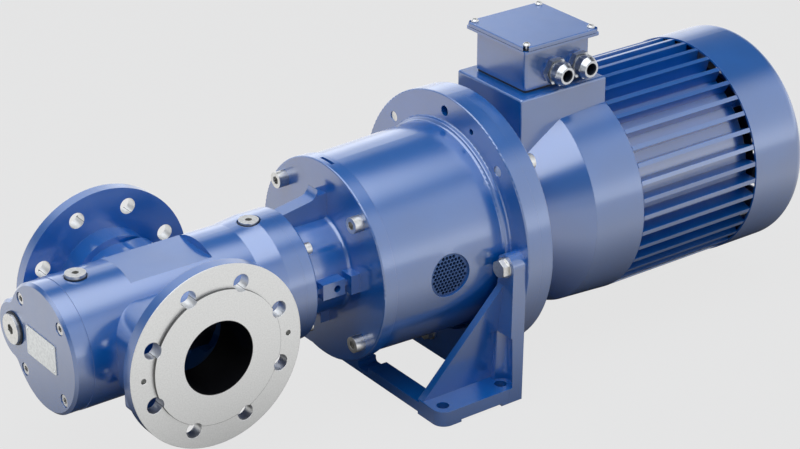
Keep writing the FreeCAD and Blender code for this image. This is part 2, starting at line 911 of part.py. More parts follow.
def make_end_cover():
    cover = lug_body(cover_face_x + cover_edge, cover_joint_x)
    bevel = [moved_outline(cover_edge, cover_face_x), moved_outline(0.0, cover_face_x + cover_edge)]
    rim = Part.makeLoft(bevel, True, True)
    ring = tube(cover_joint_x, cover_joint_x + cover_spigot, spigot_radius, spigot_radius - spigot_wall)
    cover = cover.fuse(rim).fuse(ring)
    for side in (1, -1):
        cover = cover.fuse(rod(cover_joint_x - 1, liner_front_x - end_float, thrust_post_radius,
                               0, side * pitch_diameter))
    cover = cover.cut(seal_groove(cover_joint_x + cover_spigot / 2))
    cover = drilled(cover, cover_face_x, cover_joint_x, cover_screw_radius + thread_gap, cover_screw_circle)
    pocket = cover_screw_head_radius + pocket_gap
    cover = drilled(cover, cover_face_x, cover_face_x + cover_sink, pocket, cover_screw_circle)
    return cover.cut(rod(cover_face_x, cover_joint_x, valve_plug_thread + thread_gap, valve_y))


def moved_outline(edge, x):
    wire = lug_outline(edge)
    wire.translate(V(x, 0, 0))
    return wire


def seal_groove(x):
    """Groove in a spigot, centred on a station, for its sealing ring."""
    half = seal_ring_section + end_float
    return tube(x - half, x + half, spigot_radius + 1, spigot_radius - 2 * seal_ring_section)


def make_seal_ring(x):
    """Sealing ring pressed flat between its groove and the bore."""
    half, edge = seal_ring_section, seal_ring_section / 2
    inner = spigot_radius - 2 * seal_ring_section
    outer = spigot_radius
    return turned([(x - half, inner + edge), (x - half, outer - edge), (x - edge, outer), (x + edge, outer),
                   (x + half, outer - edge), (x + half, inner + edge), (x + edge, inner), (x - edge, inner)])


def make_cover_screws():
    screw = socket_screw(cover_screw_radius, cover_thickness - cover_sink + cover_screw_grip,
                         cover_screw_head_radius, cover_screw_head_height)
    return set_round(screw, cover_face_x + cover_sink, cover_screw_circle, -1)


def make_nameplate():
    plate = plate_across(oblong(-nameplate_width / 2, nameplate_width / 2, -nameplate_height / 2,
                                nameplate_height / 2, 2.0), cover_face_x - nameplate_thickness,
                         nameplate_thickness)
    hole = rivet_radius * rivet_share
    for y, z in rivet_spots():
        plate = plate.cut(rod(cover_face_x - nameplate_thickness, cover_face_x, hole, y, z))
    return plate


def rivet_spots():
    y = nameplate_width / 2 - rivet_inset
    z = nameplate_height / 2 - rivet_inset
    return [(y, z), (-y, z), (-y, -z), (y, -z)]


def make_nameplate_rivets():
    rivets = []
    for y, z in rivet_spots():
        x0 = cover_face_x - nameplate_thickness
        shank = rivet_radius * rivet_share
        head = Part.makeCone(rivet_radius, rivet_radius / 2, shank, V(x0, y, z), V(-1, 0, 0))
        rivets.append(head.fuse(rod(x0, cover_face_x, shank - fit_gap, y, z)))
    return group(rivets)


def gauge_seat_z():
    return casing_radius - spotface_depth


def make_gauge_plugs():
    plug = screw_plug(gauge_thread_radius, gauge_depth, gauge_collar_radius, gauge_hex_radius)
    z = gauge_seat_z() + washer_thickness
    return group([aimed(plug, V(x, 0, z), V(0, 0, 1)) for x in (gauge_front_x, gauge_rear_x)])


def make_plug_washers():
    z = gauge_seat_z()
    outer = gauge_collar_radius + washer_rim
    rings = [pillar(z, z + washer_thickness, outer, x).cut(pillar(z, z + washer_thickness,
             gauge_thread_radius + thread_gap, x)) for x in (gauge_front_x, gauge_rear_x)]
    x0 = cover_face_x - washer_thickness
    ring = rod(x0, cover_face_x, valve_plug_collar + valve_washer_rim, valve_y)
    rings.append(ring.cut(rod(x0, cover_face_x, valve_plug_thread + thread_gap, valve_y)))
    return group(rings)


def make_relief_plug():
    plug = screw_plug(valve_plug_thread, valve_plug_depth, valve_plug_collar, valve_plug_hex)
    return aimed(plug, V(cover_face_x - washer_thickness, valve_y, 0), V(-1, 0, 0))


def relief_plug_end_x():
    return cover_face_x - washer_thickness + valve_plug_depth


def make_relief_piston():
    """Piston with a conical nose on the seat and a guide stem inside the spring."""
    front = valve_seat_x - end_float - piston_length
    outer = valve_bore_radius - piston_gap
    body = rod(front, valve_seat_x - end_float, outer, valve_y)
    stem = rod(front - piston_stem, front, spring_mean_radius - spring_wire_radius - end_float, valve_y)
    x0, x1 = front + piston_groove, front + 2 * piston_groove
    groove = rod(x0, x1, outer, valve_y).cut(rod(x0, x1, outer - spring_wire_radius, valve_y))
    return body.fuse(stem).cut(groove)


def make_relief_spring():
    start = relief_plug_end_x() + spring_wire_radius + end_float / 2
    end = valve_seat_x - end_float - piston_length - spring_wire_radius - end_float / 2
    helix = Part.makeHelix((end - start) / spring_turns, end - start, spring_mean_radius)
    corners = []
    for i in range(7):
        a = math.radians(60 * i)
        out, up = spring_wire_radius * math.cos(a), spring_wire_radius * math.sin(a)
        corners.append(V(spring_mean_radius + out, 0, up))
    coil = Part.Wire(helix).makePipeShell([Part.makePolygon(corners)], True, True)
    return aimed(coil, V(start, valve_y, 0), V(1, 0, 0))


def lantern_rib(angle, reach, pad_reach):
    """One stiffening rib with its squared lug and the pad that meets the plate."""
    root = lantern_radius - rib_root
    lug = block(rib_lug_front_x, rib_lug_end_x, -rib_width / 2, rib_width / 2, root, reach)
    pad = block(rib_pad_front_x, plate_front_x, -rib_pad_width / 2, rib_pad_width / 2, root, pad_reach)
    web = block(disc_end_x, plate_front_x, -web_thickness / 2, web_thickness / 2, root, reach - rib_root)
    return turn(fused([lug, pad, web]), angle)


def make_mounting_flange():
    shell = turned([
        (casing_end_x, seal_chamber_radius),
        (casing_end_x, casing_end_radius),
        (disc_end_x, casing_end_radius, 2.0),
        (disc_end_x, lantern_radius, 4.0),
        (plate_front_x, lantern_radius, plate_root),
        (plate_front_x, plate_radius, plate_edge),
        (plate_end_x, plate_radius),
        (plate_end_x, plate_spigot_radius),
        (plate_end_x + plate_spigot_length, plate_spigot_radius),
        (plate_end_x + plate_spigot_length, plate_bore_radius),
        (bearing_end_x + retainer_width, plate_bore_radius),
        (bearing_end_x + retainer_width, bearing_outer_radius + fit_gap),
        (bearing_front_x, bearing_outer_radius + fit_gap),
        (bearing_front_x, seal_shaft_radius + seal_passage_gap),
        (seal_chamber_end_x, seal_shaft_radius + seal_passage_gap),
        (seal_chamber_end_x, seal_chamber_radius),
    ])
    spigot = tube(seal_chamber_front_x, casing_end_x, spigot_radius, seal_chamber_radius)
    groove = seal_groove(seal_chamber_front_x + cover_spigot / 2)
    top = top_rib()
    ribs = [lantern_rib(90 * i, rib_reach, rib_pad_reach) for i in (1, 2, 3)]
    shape = fused([shell, spigot, top] + ribs).cut(groove)
    shape = shape.cut(post(-rib_reach - 1, -rib_reach + drain_depth, drain_radius, drain_x))
    slot_x = (plate_front_x + plate_end_x) / 2
    shape = shape.cut(block(slot_x - pry_slot_length / 2, slot_x + pry_slot_length / 2, -pry_slot_width / 2,
                            pry_slot_width / 2, plate_radius - pry_slot_depth, plate_radius + 1))
    clear = plate_screw_radius + thread_gap
    shape = drilled(shape, plate_front_x - over, plate_end_x, clear, plate_screw_circle)
    clear = cover_screw_radius + thread_gap
    return drilled(shape, casing_end_x, disc_end_x + over, clear, disc_screw_circle)


def top_rib():
    """Bar that rises from the disc to a squared pad on the plate, above the lantern."""
    bar = plate_along([
        (disc_end_x - rib_root, lantern_radius - rib_root),
        (disc_end_x - rib_root, casing_end_radius - rib_root / 2),
        (rib_pad_front_x, top_rib_height - rib_root / 2, 2 * rib_root),
        (rib_pad_front_x, top_rib_height),
        (plate_front_x, top_rib_height),
        (plate_front_x, lantern_radius - rib_root),
    ], -rib_width / 2, rib_width)
    return bar


def make_pump_flange_screws():
    screw = socket_screw(cover_screw_radius, disc_thickness + cover_screw_grip - over,
                         cover_screw_head_radius, cover_screw_head_height)
    return set_round(screw, disc_end_x, disc_screw_circle, 1)


def sealed_outer(x0, width, bore, outer, ring):
    lip_radius = bore + ring + end_float
    race = (bore + outer) / 2
    ball = (outer - bore) * ball_share
    shape = tube(x0, x0 + width, outer, lip_radius)
    hollow = tube(x0 + bearing_seal_thickness, x0 + width - bearing_seal_thickness, outer - ring, lip_radius)
    track = Part.makeTorus(race, ball, V(x0 + width / 2, 0, 0), V(1, 0, 0))
    return shape.cut(hollow).cut(track)


def sealed_inner(x0, width, bore, outer, ring):
    race = (bore + outer) / 2
    ball = (outer - bore) * ball_share
    shape = tube(x0, x0 + width, bore + ring, bore + fit_gap)
    return shape.cut(Part.makeTorus(race, ball, V(x0 + width / 2, 0, 0), V(1, 0, 0)))


def pump_bearing(ring_maker):
    return ring_maker(bearing_front_x, bearing_width, bearing_bore_radius, bearing_outer_radius, bearing_ring)


def motor_bearings(ring_maker):
    return group([ring_maker(x, motor_bearing_width, motor_bearing_bore_radius, motor_bearing_outer_radius,
                             motor_bearing_ring) for x in (front_bearing_x, rear_bearing_x)])


def make_bearing_retainer():
    return tube(bearing_end_x, bearing_end_x + retainer_width, bearing_outer_radius,
                bearing_outer_radius - retainer_wall)


def make_seal_seat():
    x1 = seal_chamber_end_x
    return tube(x1 - seal_ring_width, x1, seal_chamber_radius - fit_gap, seal_shaft_radius + over)


def make_seal_ring_rotating():
    x1 = seal_chamber_end_x - seal_ring_width - fit_gap
    return tube(x1 - seal_ring_width, x1, seal_shaft_radius + seal_ring_wall, seal_shaft_radius + fit_gap)


def make_seal_collar():
    """Driving collar behind the rotating seal face, with its set screws left to the finish."""
    x1 = seal_chamber_end_x - 2 * seal_ring_width - 2 * fit_gap
    return tube(x1 - seal_collar_width, x1, seal_shaft_radius + seal_collar_wall, seal_shaft_radius + fit_gap)


def bell_barrel_radius(x):
    share = (x - plate_end_x) / (bell_flange_front_x - plate_end_x)
    return bell_front_radius + (bell_rear_radius - bell_front_radius) * share


def make_bellhousing():
    step_x = bell_flange_front_x - bell_step_length
    rear_bore = bell_rear_radius - bell_wall
    recess_x = motor_face_x - motor_spigot_length - motor_spigot_gap
    shape = turned([
        (plate_end_x, plate_spigot_radius + fit_gap),
        (plate_end_x, bell_front_radius),
        (step_x, bell_barrel_radius(step_x), 3.0),
        (step_x + bell_step_slope, bell_step_radius, 2.0),
        (bell_flange_front_x, bell_step_radius + bell_step_rise, bell_root),
        (bell_flange_front_x, bell_flange_radius, bell_edge),
        (motor_face_x, bell_flange_radius),
        (motor_face_x, motor_spigot_radius + fit_gap),
        (recess_x, motor_spigot_radius + fit_gap),
        (recess_x, rear_bore),
        (plate_end_x + bell_front_lip, bell_front_radius - bell_wall, 4.0),
        (plate_end_x + bell_front_lip, plate_spigot_radius + fit_gap),
    ])
    grip_end = plate_end_x + plate_screw_grip + over
    shape = drilled(shape, plate_end_x, grip_end, plate_screw_radius + thread_gap, plate_screw_circle)
    tapped = flange_screw_radius + thread_gap
    for angles in (corner_angles, (90,), foot_bolt_angles):
        shape = drilled(shape, bell_flange_front_x, motor_face_x, tapped, flange_screw_circle, angles)
    jack_end = bell_flange_front_x + jack_hole_depth
    shape = drilled(shape, bell_flange_front_x, jack_end, jack_hole_radius, flange_screw_circle,
                    (90 - jack_hole_angle,))
    wide = bell_rear_radius + over
    for side in (-1, 1):
        low, high = sorted((side * wide, side * wide / 2))
        shape = shape.cut(post(low, high, vent_radius, vent_x))
    return shape


def make_vent_grille(side):
    """Curved disc that fills a vent window, pierced by hexagonal cells."""
    outer = bell_barrel_radius(vent_x) - vent_recess
    shell = tube(vent_x - vent_radius, vent_x + vent_radius, outer, outer - vent_thickness)
    low, high = sorted((side * outer / 2, side * (outer + over)))
    disc = shell.common(post(low, high, vent_radius - fit_gap, vent_x))
    pitch = vent_cell + vent_web
    rows = int(vent_radius / pitch) + 1
    cell = hexagon(vent_cell / math.sqrt(3), outer)
    cells = []
    for row in range(-rows, rows + 1):
        for column in range(-rows, rows + 1):
            x = (column + 0.5 * (row % 2)) * pitch
            z = row * pitch * math.sqrt(3) / 2
            if math.hypot(x, z) < vent_radius - vent_cell / 2 - vent_web:
                cells.append(aimed(cell, V(vent_x + x, side * outer / 2, z), V(0, side, 0)))
    return disc.cut(group(cells))


def make_vent_grilles():
    return group([make_vent_grille(-1), make_vent_grille(1)])


def make_bellhousing_screws():
    screw = socket_screw(plate_screw_radius, plate_thickness + plate_screw_grip, plate_screw_head_radius,
                         plate_screw_head_height)
    return set_round(screw, plate_front_x, plate_screw_circle, -1)


def foot_holes():
    spots = []
    for x in (-foot_hole_spacing_x / 2, foot_hole_spacing_x / 2):
        for y in (-foot_hole_spacing_y / 2, foot_hole_spacing_y / 2):
            spots.append((foot_station_x + x, y))
    return spots


def make_foot_bracket():
    x0, x1 = foot_front_x, bell_flange_front_x
    under = base_z + foot_pad_height
    base = slab([(x0, -foot_half_width, foot_corner), (x1, -foot_half_width), (x1, foot_half_width),
                 (x0, foot_half_width, foot_corner)], under, foot_thickness)
    inner = foot_half_width - foot_side_width
    bar_x = x0 + foot_bar_width
    window = oblong(bar_x, upright_front_x, -inner, inner, foot_window_corner)
    base = base.cut(slab(window, under, foot_thickness))
    base = base.cut(block(x0, bar_x, -inner, inner, foot_bar_top, foot_top))
    channel = oblong(-foot_channel_half_width, foot_channel_half_width, foot_bar_top - foot_channel_depth,
                     foot_top + foot_channel_corner, foot_channel_corner)
    base = base.cut(plate_across(channel, x0 - over, foot_bar_width + 2 * over))
    top = upright_lobe_radius
    lobe = upright_half_width - upright_lobe_width
    upright = plate_across([
        (-upright_half_width, top, top - 1),
        (-lobe, top, upright_lobe_width - top - 1),
        (-lobe, -top),
        (lobe, -top),
        (lobe, top, upright_lobe_width - top - 1),
        (upright_half_width, top, top - 1),
        (foot_half_width, under),
        (-foot_half_width, under),
    ], upright_front_x, upright_thickness)
    upright = upright.cut(rod(upright_front_x - 1, x1 + 1, upright_cut_radius))
    shape = fused([base, upright] + foot_gussets() + foot_pads())
    for x, y in foot_holes():
        shape = shape.cut(pillar(base_z, foot_top, foot_hole_radius, x, y))
    for side in (-1, 1):
        x = foot_station_x + foot_hole_spacing_x / 2 + relief_offset_x
        y = side * (foot_hole_spacing_y / 2 + relief_offset_y)
        shape = shape.cut(pillar(foot_top, relief_top, relief_radius, x, y))
    return drilled(shape, upright_front_x, x1, flange_clear_radius, flange_screw_circle, foot_bolt_angles)


def foot_gussets():
    """Triangular webs from the base up to the arms, leaning out towards the top."""
    gussets = []
    for side in (-1, 1):
        corners = [V(foot_front_x + 1, side * gusset_base_y, foot_top - 1),
                   V(upright_front_x + 2, side * gusset_base_y, foot_top - 1),
                   V(upright_front_x + 2, side * gusset_top_y, gusset_top)]
        face = Part.Face(Part.makePolygon(corners + corners[:1]))
        gussets.append(face.extrude(V(0, -side * gusset_thickness, 0)))
    return gussets


def foot_pads():
    pads = []
    for side in (-1, 1):
        low, high = sorted((side * foot_half_width, side * (foot_half_width - foot_pad_width)))
        corner = foot_corner if side < 0 else 0
        far = foot_corner if side > 0 else 0
        pad_end = foot_front_x + foot_pad_length
        rim = [(foot_front_x, low, corner), (pad_end, low), (pad_end, high), (foot_front_x, high, far)]
        front = slab(rim, base_z, foot_pad_height)
        rear = slab(oblong(bell_flange_front_x - foot_pad_length, bell_flange_front_x, low, high, 0),
                    base_z, foot_pad_height)
        pads += [front, rear]
    return pads


def make_foot_bolts():
    head = foot_bolt_head * 2 / math.sqrt(3)
    bolt = hex_bolt(flange_screw_radius, upright_thickness + foot_bolt_grip, head, foot_bolt_head_height)
    seat = upright_front_x - foot_washer_thickness
    return set_round(bolt, seat, flange_screw_circle, -1, foot_bolt_angles)


def make_foot_washers():
    ring = pillar(0, foot_washer_thickness, foot_washer_radius)
    ring = ring.cut(pillar(0, foot_washer_thickness, flange_screw_radius + thread_gap))
    return set_round(ring, upright_front_x, flange_screw_circle, -1, foot_bolt_angles)


def sector(x0, x1, outer, inner, angle):
    """Part of a ring of a given angle, centred on +Z."""
    half = math.radians(angle / 2)
    reach = outer / math.cos(half) + 1
    points = [V(x0, 0, 0), V(x0, -reach * math.sin(half), reach * math.cos(half)),
              V(x0, reach * math.sin(half), reach * math.cos(half)), V(x0, 0, 0)]
    wedge = Part.Face(Part.makePolygon(points)).extrude(V(x1 - x0, 0, 0))
    return tube(x0, x1, outer, inner).common(wedge)


def coupling_hub(x0, x1, bore, jaws_x0, jaws_x1, start, key_top):
    hub = rod(x0, x1, hub_outer_radius)
    jaw = sector(jaws_x0, jaws_x1, hub_outer_radius, jaw_inner_radius, jaw_angle)
    hub = fused([hub] + around(jaw, jaw_count, start))
    hub = hub.cut(rod(x0 - 1, x1 + 1, bore + fit_gap))
    return hub.cut(block(x0 - 1, x1 + 1, -key_width / 2 - fit_gap, key_width / 2 + fit_gap, 0, key_top))


def make_pump_hub():
    return coupling_hub(pump_hub_front_x, pump_hub_end_x, pump_shaft_radius, pump_hub_end_x,
                        pump_hub_end_x + jaw_length, 0, pump_shaft_radius + key_height / 2 + key_top_gap)


def make_motor_hub():
    return coupling_hub(motor_hub_front_x, motor_hub_front_x + motor_hub_length, motor_shaft_radius,
                        motor_hub_front_x - jaw_length, motor_hub_front_x, 180.0 / jaw_count,
                        motor_shaft_radius + key_height / 2 + key_top_gap)


def make_coupling_spider():
    x0 = pump_hub_end_x + coupling_gap
    x1 = motor_hub_front_x - coupling_gap
    ring = tube(x0, x1, jaw_inner_radius - coupling_gap, spider_ring_inner)
    leg = sector(x0, x1, hub_outer_radius, jaw_inner_radius - coupling_gap - 1, spider_leg_angle)
    return fused([ring] + around(leg, 2 * jaw_count, 180.0 / jaw_count / 2))


def make_coupling_keys():
    keys = []
    for x0, shaft in ((pump_key_x, pump_shaft_radius), (motor_key_x, motor_shaft_radius)):
        keys.append(block(x0, x0 + key_length, -key_width / 2, key_width / 2, shaft - key_height / 2,
                          shaft + key_height / 2))
    return group(keys)


def make_motor_shaft():
    front_seat = front_bearing_x
    rear_seat_end = rear_bearing_x + motor_bearing_width
    shaft = turned([
        (motor_shaft_front_x, 0),
        (motor_shaft_front_x, motor_shaft_radius, shaft_edge),
        (front_seat, motor_shaft_radius),
        (front_seat, motor_bearing_bore_radius),
        (front_seat + motor_bearing_width, motor_bearing_bore_radius),
        (front_seat + motor_bearing_width, rotor_seat_radius),
        (rear_bearing_x, rotor_seat_radius),
        (rear_bearing_x, motor_bearing_bore_radius),
        (rear_seat_end, motor_bearing_bore_radius),
        (rear_seat_end, fan_shaft_radius),
        (fan_front_x + fan_hub_length, fan_shaft_radius),
        (fan_front_x + fan_hub_length, 0),
    ])
    return shaft.cut(block(motor_key_x, motor_key_x + key_length, -key_width / 2, key_width / 2,
                           motor_shaft_radius - key_height / 2, motor_shaft_radius + key_height))


def make_rotor_core():
    return tube(core_front_x, core_front_x + core_length, core_inner_radius - rotor_gap,
                rotor_seat_radius + fit_gap)


def make_stator_core():
    return tube(core_front_x, core_front_x + core_length, frame_inner_radius - fit_gap, core_inner_radius)


def make_windings():
    rings = []
    for x0, x1 in ((core_front_x, core_front_x - winding_length),
                   (core_front_x + core_length, core_front_x + core_length + winding_length)):
        back = x1 - (x1 - x0) * winding_slope
        edge = abs(x1 - back)
        rings.append(turned([(x0, winding_inner_radius), (x0, winding_outer_radius),
                             (back, winding_outer_radius), (x1, winding_outer_radius - edge),
                             (x1, winding_inner_radius + edge), (back, winding_inner_radius)]))
    return group(rings)


def make_motor_front_shield():
    """Flange, cone and smooth shell in one casting, with the saddle for the terminal box."""
    wall = shell_wall
    hub = motor_bearing_outer_radius + shield_hub_wall
    shell = turned([
        (motor_face_x - motor_spigot_length, motor_shaft_radius + shaft_passage_gap),
        (motor_face_x - motor_spigot_length, motor_spigot_radius),
        (motor_face_x, motor_spigot_radius),
        (motor_face_x, bell_flange_radius),
        (motor_flange_end_x, bell_flange_radius, shell_edge),
        (motor_flange_end_x, cone_front_radius, 3.0),
        (cone_end_x, cone_end_radius, 2.0),
        (fin_front_x, shell_end_radius, 1.0),
        (fin_front_x, frame_inner_radius),
        (cone_end_x + wall, cone_end_radius - wall),
        (motor_flange_end_x + wall, cone_front_radius - wall),
        (motor_flange_end_x + wall, hub),
        (front_bearing_x + motor_bearing_width, hub),
        (front_bearing_x + motor_bearing_width, motor_bearing_outer_radius + fit_gap),
        (front_bearing_x, motor_bearing_outer_radius + fit_gap),
        (front_bearing_x, motor_shaft_radius + shaft_passage_gap),
    ])
    saddle = block(saddle_front_x, saddle_rear_x, -saddle_half_width, saddle_half_width, 0, saddle_top)
    edges = [e for e in saddle.Edges if min(v.Z for v in e.Vertexes) > 0
             or (max(v.Z for v in e.Vertexes) > 0 and e.Vertexes[0].X < box_centre_x)]
    saddle = saddle.makeFillet(saddle_edge, edges)
    hollow = block(box_centre_x - box_half_length + saddle_wall, box_centre_x + box_half_length - saddle_wall,
                   -saddle_half_width + 2 * saddle_wall, saddle_half_width - 2 * saddle_wall,
                   cone_front_radius, saddle_top - saddle_wall)
    void = turned([
        (motor_flange_end_x + wall, 0),
        (motor_flange_end_x + wall, cone_front_radius - wall),
        (cone_end_x + wall, cone_end_radius - wall),
        (fin_front_x, frame_inner_radius),
        (fin_front_x, 0),
    ])
    shape = shell.fuse(saddle.cut(void)).cut(hollow)
    shape = shape.cut(pillar(cone_front_radius, saddle_top + 1, box_hole_radius, box_centre_x))
    clear = flange_screw_radius + thread_gap
    return drilled(shape, motor_face_x, motor_flange_end_x, clear, flange_screw_circle)


def make_motor_flange_screws():
    screw = socket_screw(flange_screw_radius, motor_flange_thickness + bell_flange_thickness - 1,
                         motor_screw_head_radius, motor_screw_head_height)
    return set_round(screw, motor_flange_end_x, flange_screw_circle, 1)


def make_stator_frame():
    """Finned tube: one outline of fins and valleys drawn across the axis and extruded.

    The fins run on past the end of the tube as far as the fan cover.
    """
    half = fin_width / 2
    step = 2 * math.pi / fin_count
    tip = math.asin(half * fin_taper / fin_tip_radius)
    root = math.asin(half / fin_root_radius)
    corners = []
    for i in range(fin_count):
        a = i * step
        for r, turn_by in ((fin_root_radius, -root), (fin_tip_radius, -tip), (fin_tip_radius, tip),
                           (fin_root_radius, root)):
            corners.append((r * math.cos(a + turn_by), r * math.sin(a + turn_by)))
    frame = plate_across(corners, fin_front_x, fin_rear_x - fin_front_x)
    frame = frame.cut(rod(frame_end_x, fin_rear_x + over, fin_root_radius))
    frame = frame.fuse(rod(fin_front_x, frame_end_x, fin_root_radius))
    return frame.cut(rod(fin_front_x - over, frame_end_x + over, frame_inner_radius))


def make_fan_end_shield():
    """Rear end shield with its bearing hub and the posts that carry the fan cover."""
    x0, x1 = frame_end_x, frame_end_x + rear_shield_thickness
    hub = motor_bearing_outer_radius + shield_hub_wall
    bearing_end = rear_bearing_x + motor_bearing_width
    hub_end = bearing_end + rear_hub_lip
    rim = fin_root_radius - rear_shield_inset
    shape = turned([
        (x0, hub),
        (x0, rim),
        (x1, rim, rear_hub_lip),
        (x1, hub, rear_hub_root),
        (hub_end, hub, 2.0),
        (hub_end, rotor_seat_radius),
        (bearing_end, rotor_seat_radius),
        (bearing_end, motor_bearing_outer_radius + fit_gap),
        (rear_bearing_x, motor_bearing_outer_radius + fit_gap),
        (rear_bearing_x, motor_bearing_outer_radius),
        (x0, motor_bearing_outer_radius),
    ])
    for angle in corner_angles:
        spot = on_circle(0, hood_post_circle, angle)
        shape = shape.fuse(rod(x1 - over, hood_back_inner_x, hood_post_radius, spot.y, spot.z))
    tapped = hood_screw_radius + thread_gap
    return drilled(shape, hood_back_inner_x - hood_screw_grip, hood_back_inner_x, tapped, hood_post_circle)


def make_fan_cover():
    """Rolled hood with a rounded rear edge and a slotted air inlet."""
    hood = turned([
        (hood_front_x, hood_radius - hood_wall),
        (hood_front_x, hood_radius),
        (hood_end_x, hood_radius, hood_edge),
        (hood_end_x, 0),
        (hood_back_inner_x, 0),
        (hood_back_inner_x, hood_radius - hood_wall, hood_edge - hood_wall),
    ])
    slots = []
    for row in range(hood_slot_rows):
        z = (row - (hood_slot_rows - 1) / 2) * hood_slot_pitch
        half = math.sqrt(max(hood_grille_radius ** 2 - z ** 2, 0))
        for side in (-1, 1):
            low, high = sorted((side * half, side * fan_hub_radius / 2))
            slots.append(block(hood_back_inner_x - 1, hood_end_x + 1, low, high, z - hood_slot_width / 2,
                               z + hood_slot_width / 2))
    hood = hood.cut(group(slots))
    return drilled(hood, hood_back_inner_x, hood_end_x, hood_screw_radius + thread_gap, hood_post_circle)


def make_fan_cover_screws():
    screw = pan_screw(hood_screw_radius, hood_wall + hood_screw_grip - 1, hood_screw_head_radius,
                      hood_screw_head_height)
    return set_round(screw, hood_end_x, hood_post_circle, 1)


def make_fan():
    disc = tube(fan_front_x, fan_front_x + fan_disc_thickness, fan_radius, fan_shaft_radius + fit_gap)
    hub = tube(fan_front_x, fan_front_x + fan_hub_length, fan_hub_radius, fan_shaft_radius + fit_gap)
    half = fan_blade_thickness / 2
    blade = block(fan_front_x, fan_front_x + fan_hub_length, -half, half, fan_blade_inner, fan_radius)
    spoke = block(fan_front_x, fan_front_x + fan_hub_length / 2, -half, half, fan_hub_radius - over,
                  fan_blade_inner)
    return fused([disc, hub] + around(blade.fuse(spoke), fan_blade_count))


def box_outline(inset=0.0):
    length = box_half_length - inset
    width = box_half_width - inset
    return oblong(box_centre_x - length, box_centre_x + length, -width, width, box_corner - inset / 2)


def lid_outline(inset=0.0):
    length = lid_half_length - inset
    width = lid_half_width - inset
    return oblong(box_centre_x - length, box_centre_x + length, -width, width, lid_corner - inset / 2)


def lid_screw_spots():
    dx = lid_half_length - lid_screw_inset
    dy = lid_half_width - lid_screw_inset
    return [(box_centre_x + sx * dx, sy * dy) for sx in (-1, 1) for sy in (-1, 1)]


def gland_xs():
    return [gland_centre_x - gland_spacing / 2, gland_centre_x + gland_spacing / 2]


def make_box_gasket():
    ring = slab(box_outline(box_gasket_inset), saddle_top, box_gasket_thickness)
    return ring.cut(pillar(saddle_top, box_floor, box_hole_radius, box_centre_x))


def make_terminal_box():
    """Open box with a rim under the lid and round bosses for the two cable glands."""
    shape = slab(box_outline(), box_floor, box_height)
    shape = shape.fuse(slab(lid_outline(), box_top - box_rim_thickness, box_rim_thickness))
    boss_y = -box_half_width - gland_boss_height
    for x in gland_xs():
        shape = shape.fuse(post(boss_y, -box_half_width + 1, gland_boss_radius, x, gland_height))
    shape = shape.cut(slab(box_outline(box_wall), box_floor + box_wall, box_height))
    shape = shape.cut(pillar(box_floor - 1, box_floor + box_wall + 1, box_hole_radius, box_centre_x))
    tapped = gland_thread_radius + thread_gap
    for x in gland_xs():
        shape = shape.cut(post(boss_y, box_wall - box_half_width, tapped, x, gland_height))
    for x, y in lid_screw_spots():
        shape = shape.cut(pillar(box_top - box_rim_thickness, box_top, lid_screw_radius + thread_gap, x, y))
    return shape.removeSplitter()


def make_lid_gasket():
    ring = slab(lid_outline(lid_gasket_inset), box_top, lid_gasket_thickness)
    ring = ring.cut(slab(box_outline(box_wall), box_top, lid_gasket_thickness))
    for x, y in lid_screw_spots():
        ring = ring.cut(pillar(box_top, lid_base, lid_screw_radius + thread_gap, x, y))
    return ring


def corner_slot(x, y):
    """Slot from a screw's place out through its corner of the lid."""
    width = lid_slot_half_width
    slot = block(0, lid_screw_inset * 2, -width, width, lid_base, lid_base + lid_thickness)
    slot = slot.fuse(pillar(lid_base, lid_base + lid_thickness, width))
    slot.rotate(V(0, 0, 0), V(0, 0, 1), math.degrees(math.atan2(y, x - box_centre_x)))
    slot.translate(V(x, y, 0))
    return slot


def make_terminal_lid():
    lid = slab(lid_outline(), lid_base, lid_thickness)
    top = lid_base + lid_thickness
    lid = lid.makeFillet(lid_edge, [e for e in lid.Edges if min(v.Z for v in e.Vertexes) > top - lid_edge])
    for x, y in lid_screw_spots():
        lid = lid.cut(corner_slot(x, y))
    return lid


def make_lid_screws():
    screw = pan_screw(lid_screw_radius, lid_thickness + lid_gasket_thickness + lid_screw_grip,
                      lid_screw_head_radius, lid_screw_head_height)
    return group([aimed(screw, V(x, y, lid_base + lid_thickness), V(0, 0, 1)) for x, y in lid_screw_spots()])


def make_terminal_block():
    x0 = box_centre_x - block_length / 2
    z0 = box_floor + box_wall
    base = block(x0, x0 + block_length, 0, block_width, z0, z0 + block_height)
    base = base.cut(pillar(z0, z0 + block_height - block_web, box_hole_radius, box_centre_x))
    top = z0 + block_height
    for x, y in stud_spots():
        base = base.cut(pillar(top - stud_depth, top, stud_radius + thread_gap, x, y))
    return base


def stud_spots():
    return [(box_centre_x + i * stud_pitch, block_width / 2 + j * stud_pitch / 2)
            for i in (-1, 0, 1) for j in (-1, 1)]


def make_terminal_studs():
    z0 = box_floor + box_wall + block_height
    nut = hexagon(stud_nut_radius, stud_nut_height)
    return group([pillar(z0 - stud_depth, z0 + stud_height, stud_radius, x, y).fuse(
        aimed(nut, V(x, y, z0), V(0, 0, 1))) for x, y in stud_spots()])


def gland_turned(profile, hexagons=()):
    """Gland piece along +Z from an outline of (radius, height)."""
    wire = Part.makePolygon([V(r, 0, z) for r, z in profile] + [V(profile[0][0], 0, profile[0][1])])
    shape = Part.Face(wire).revolve(V(0, 0, 0), V(0, 0, 1), 360)
    for radius, z0, height in hexagons:
        ring = hexagon(radius, height, z0).cut(pillar(z0, z0 + height, seal_insert_radius + fit_gap))
        shape = shape.fuse(ring)
    return shape


def place_glands(shape):
    y = -box_half_width - gland_boss_height
    return group([aimed(shape, V(x, y, gland_height), V(0, -1, 0)) for x in gland_xs()])


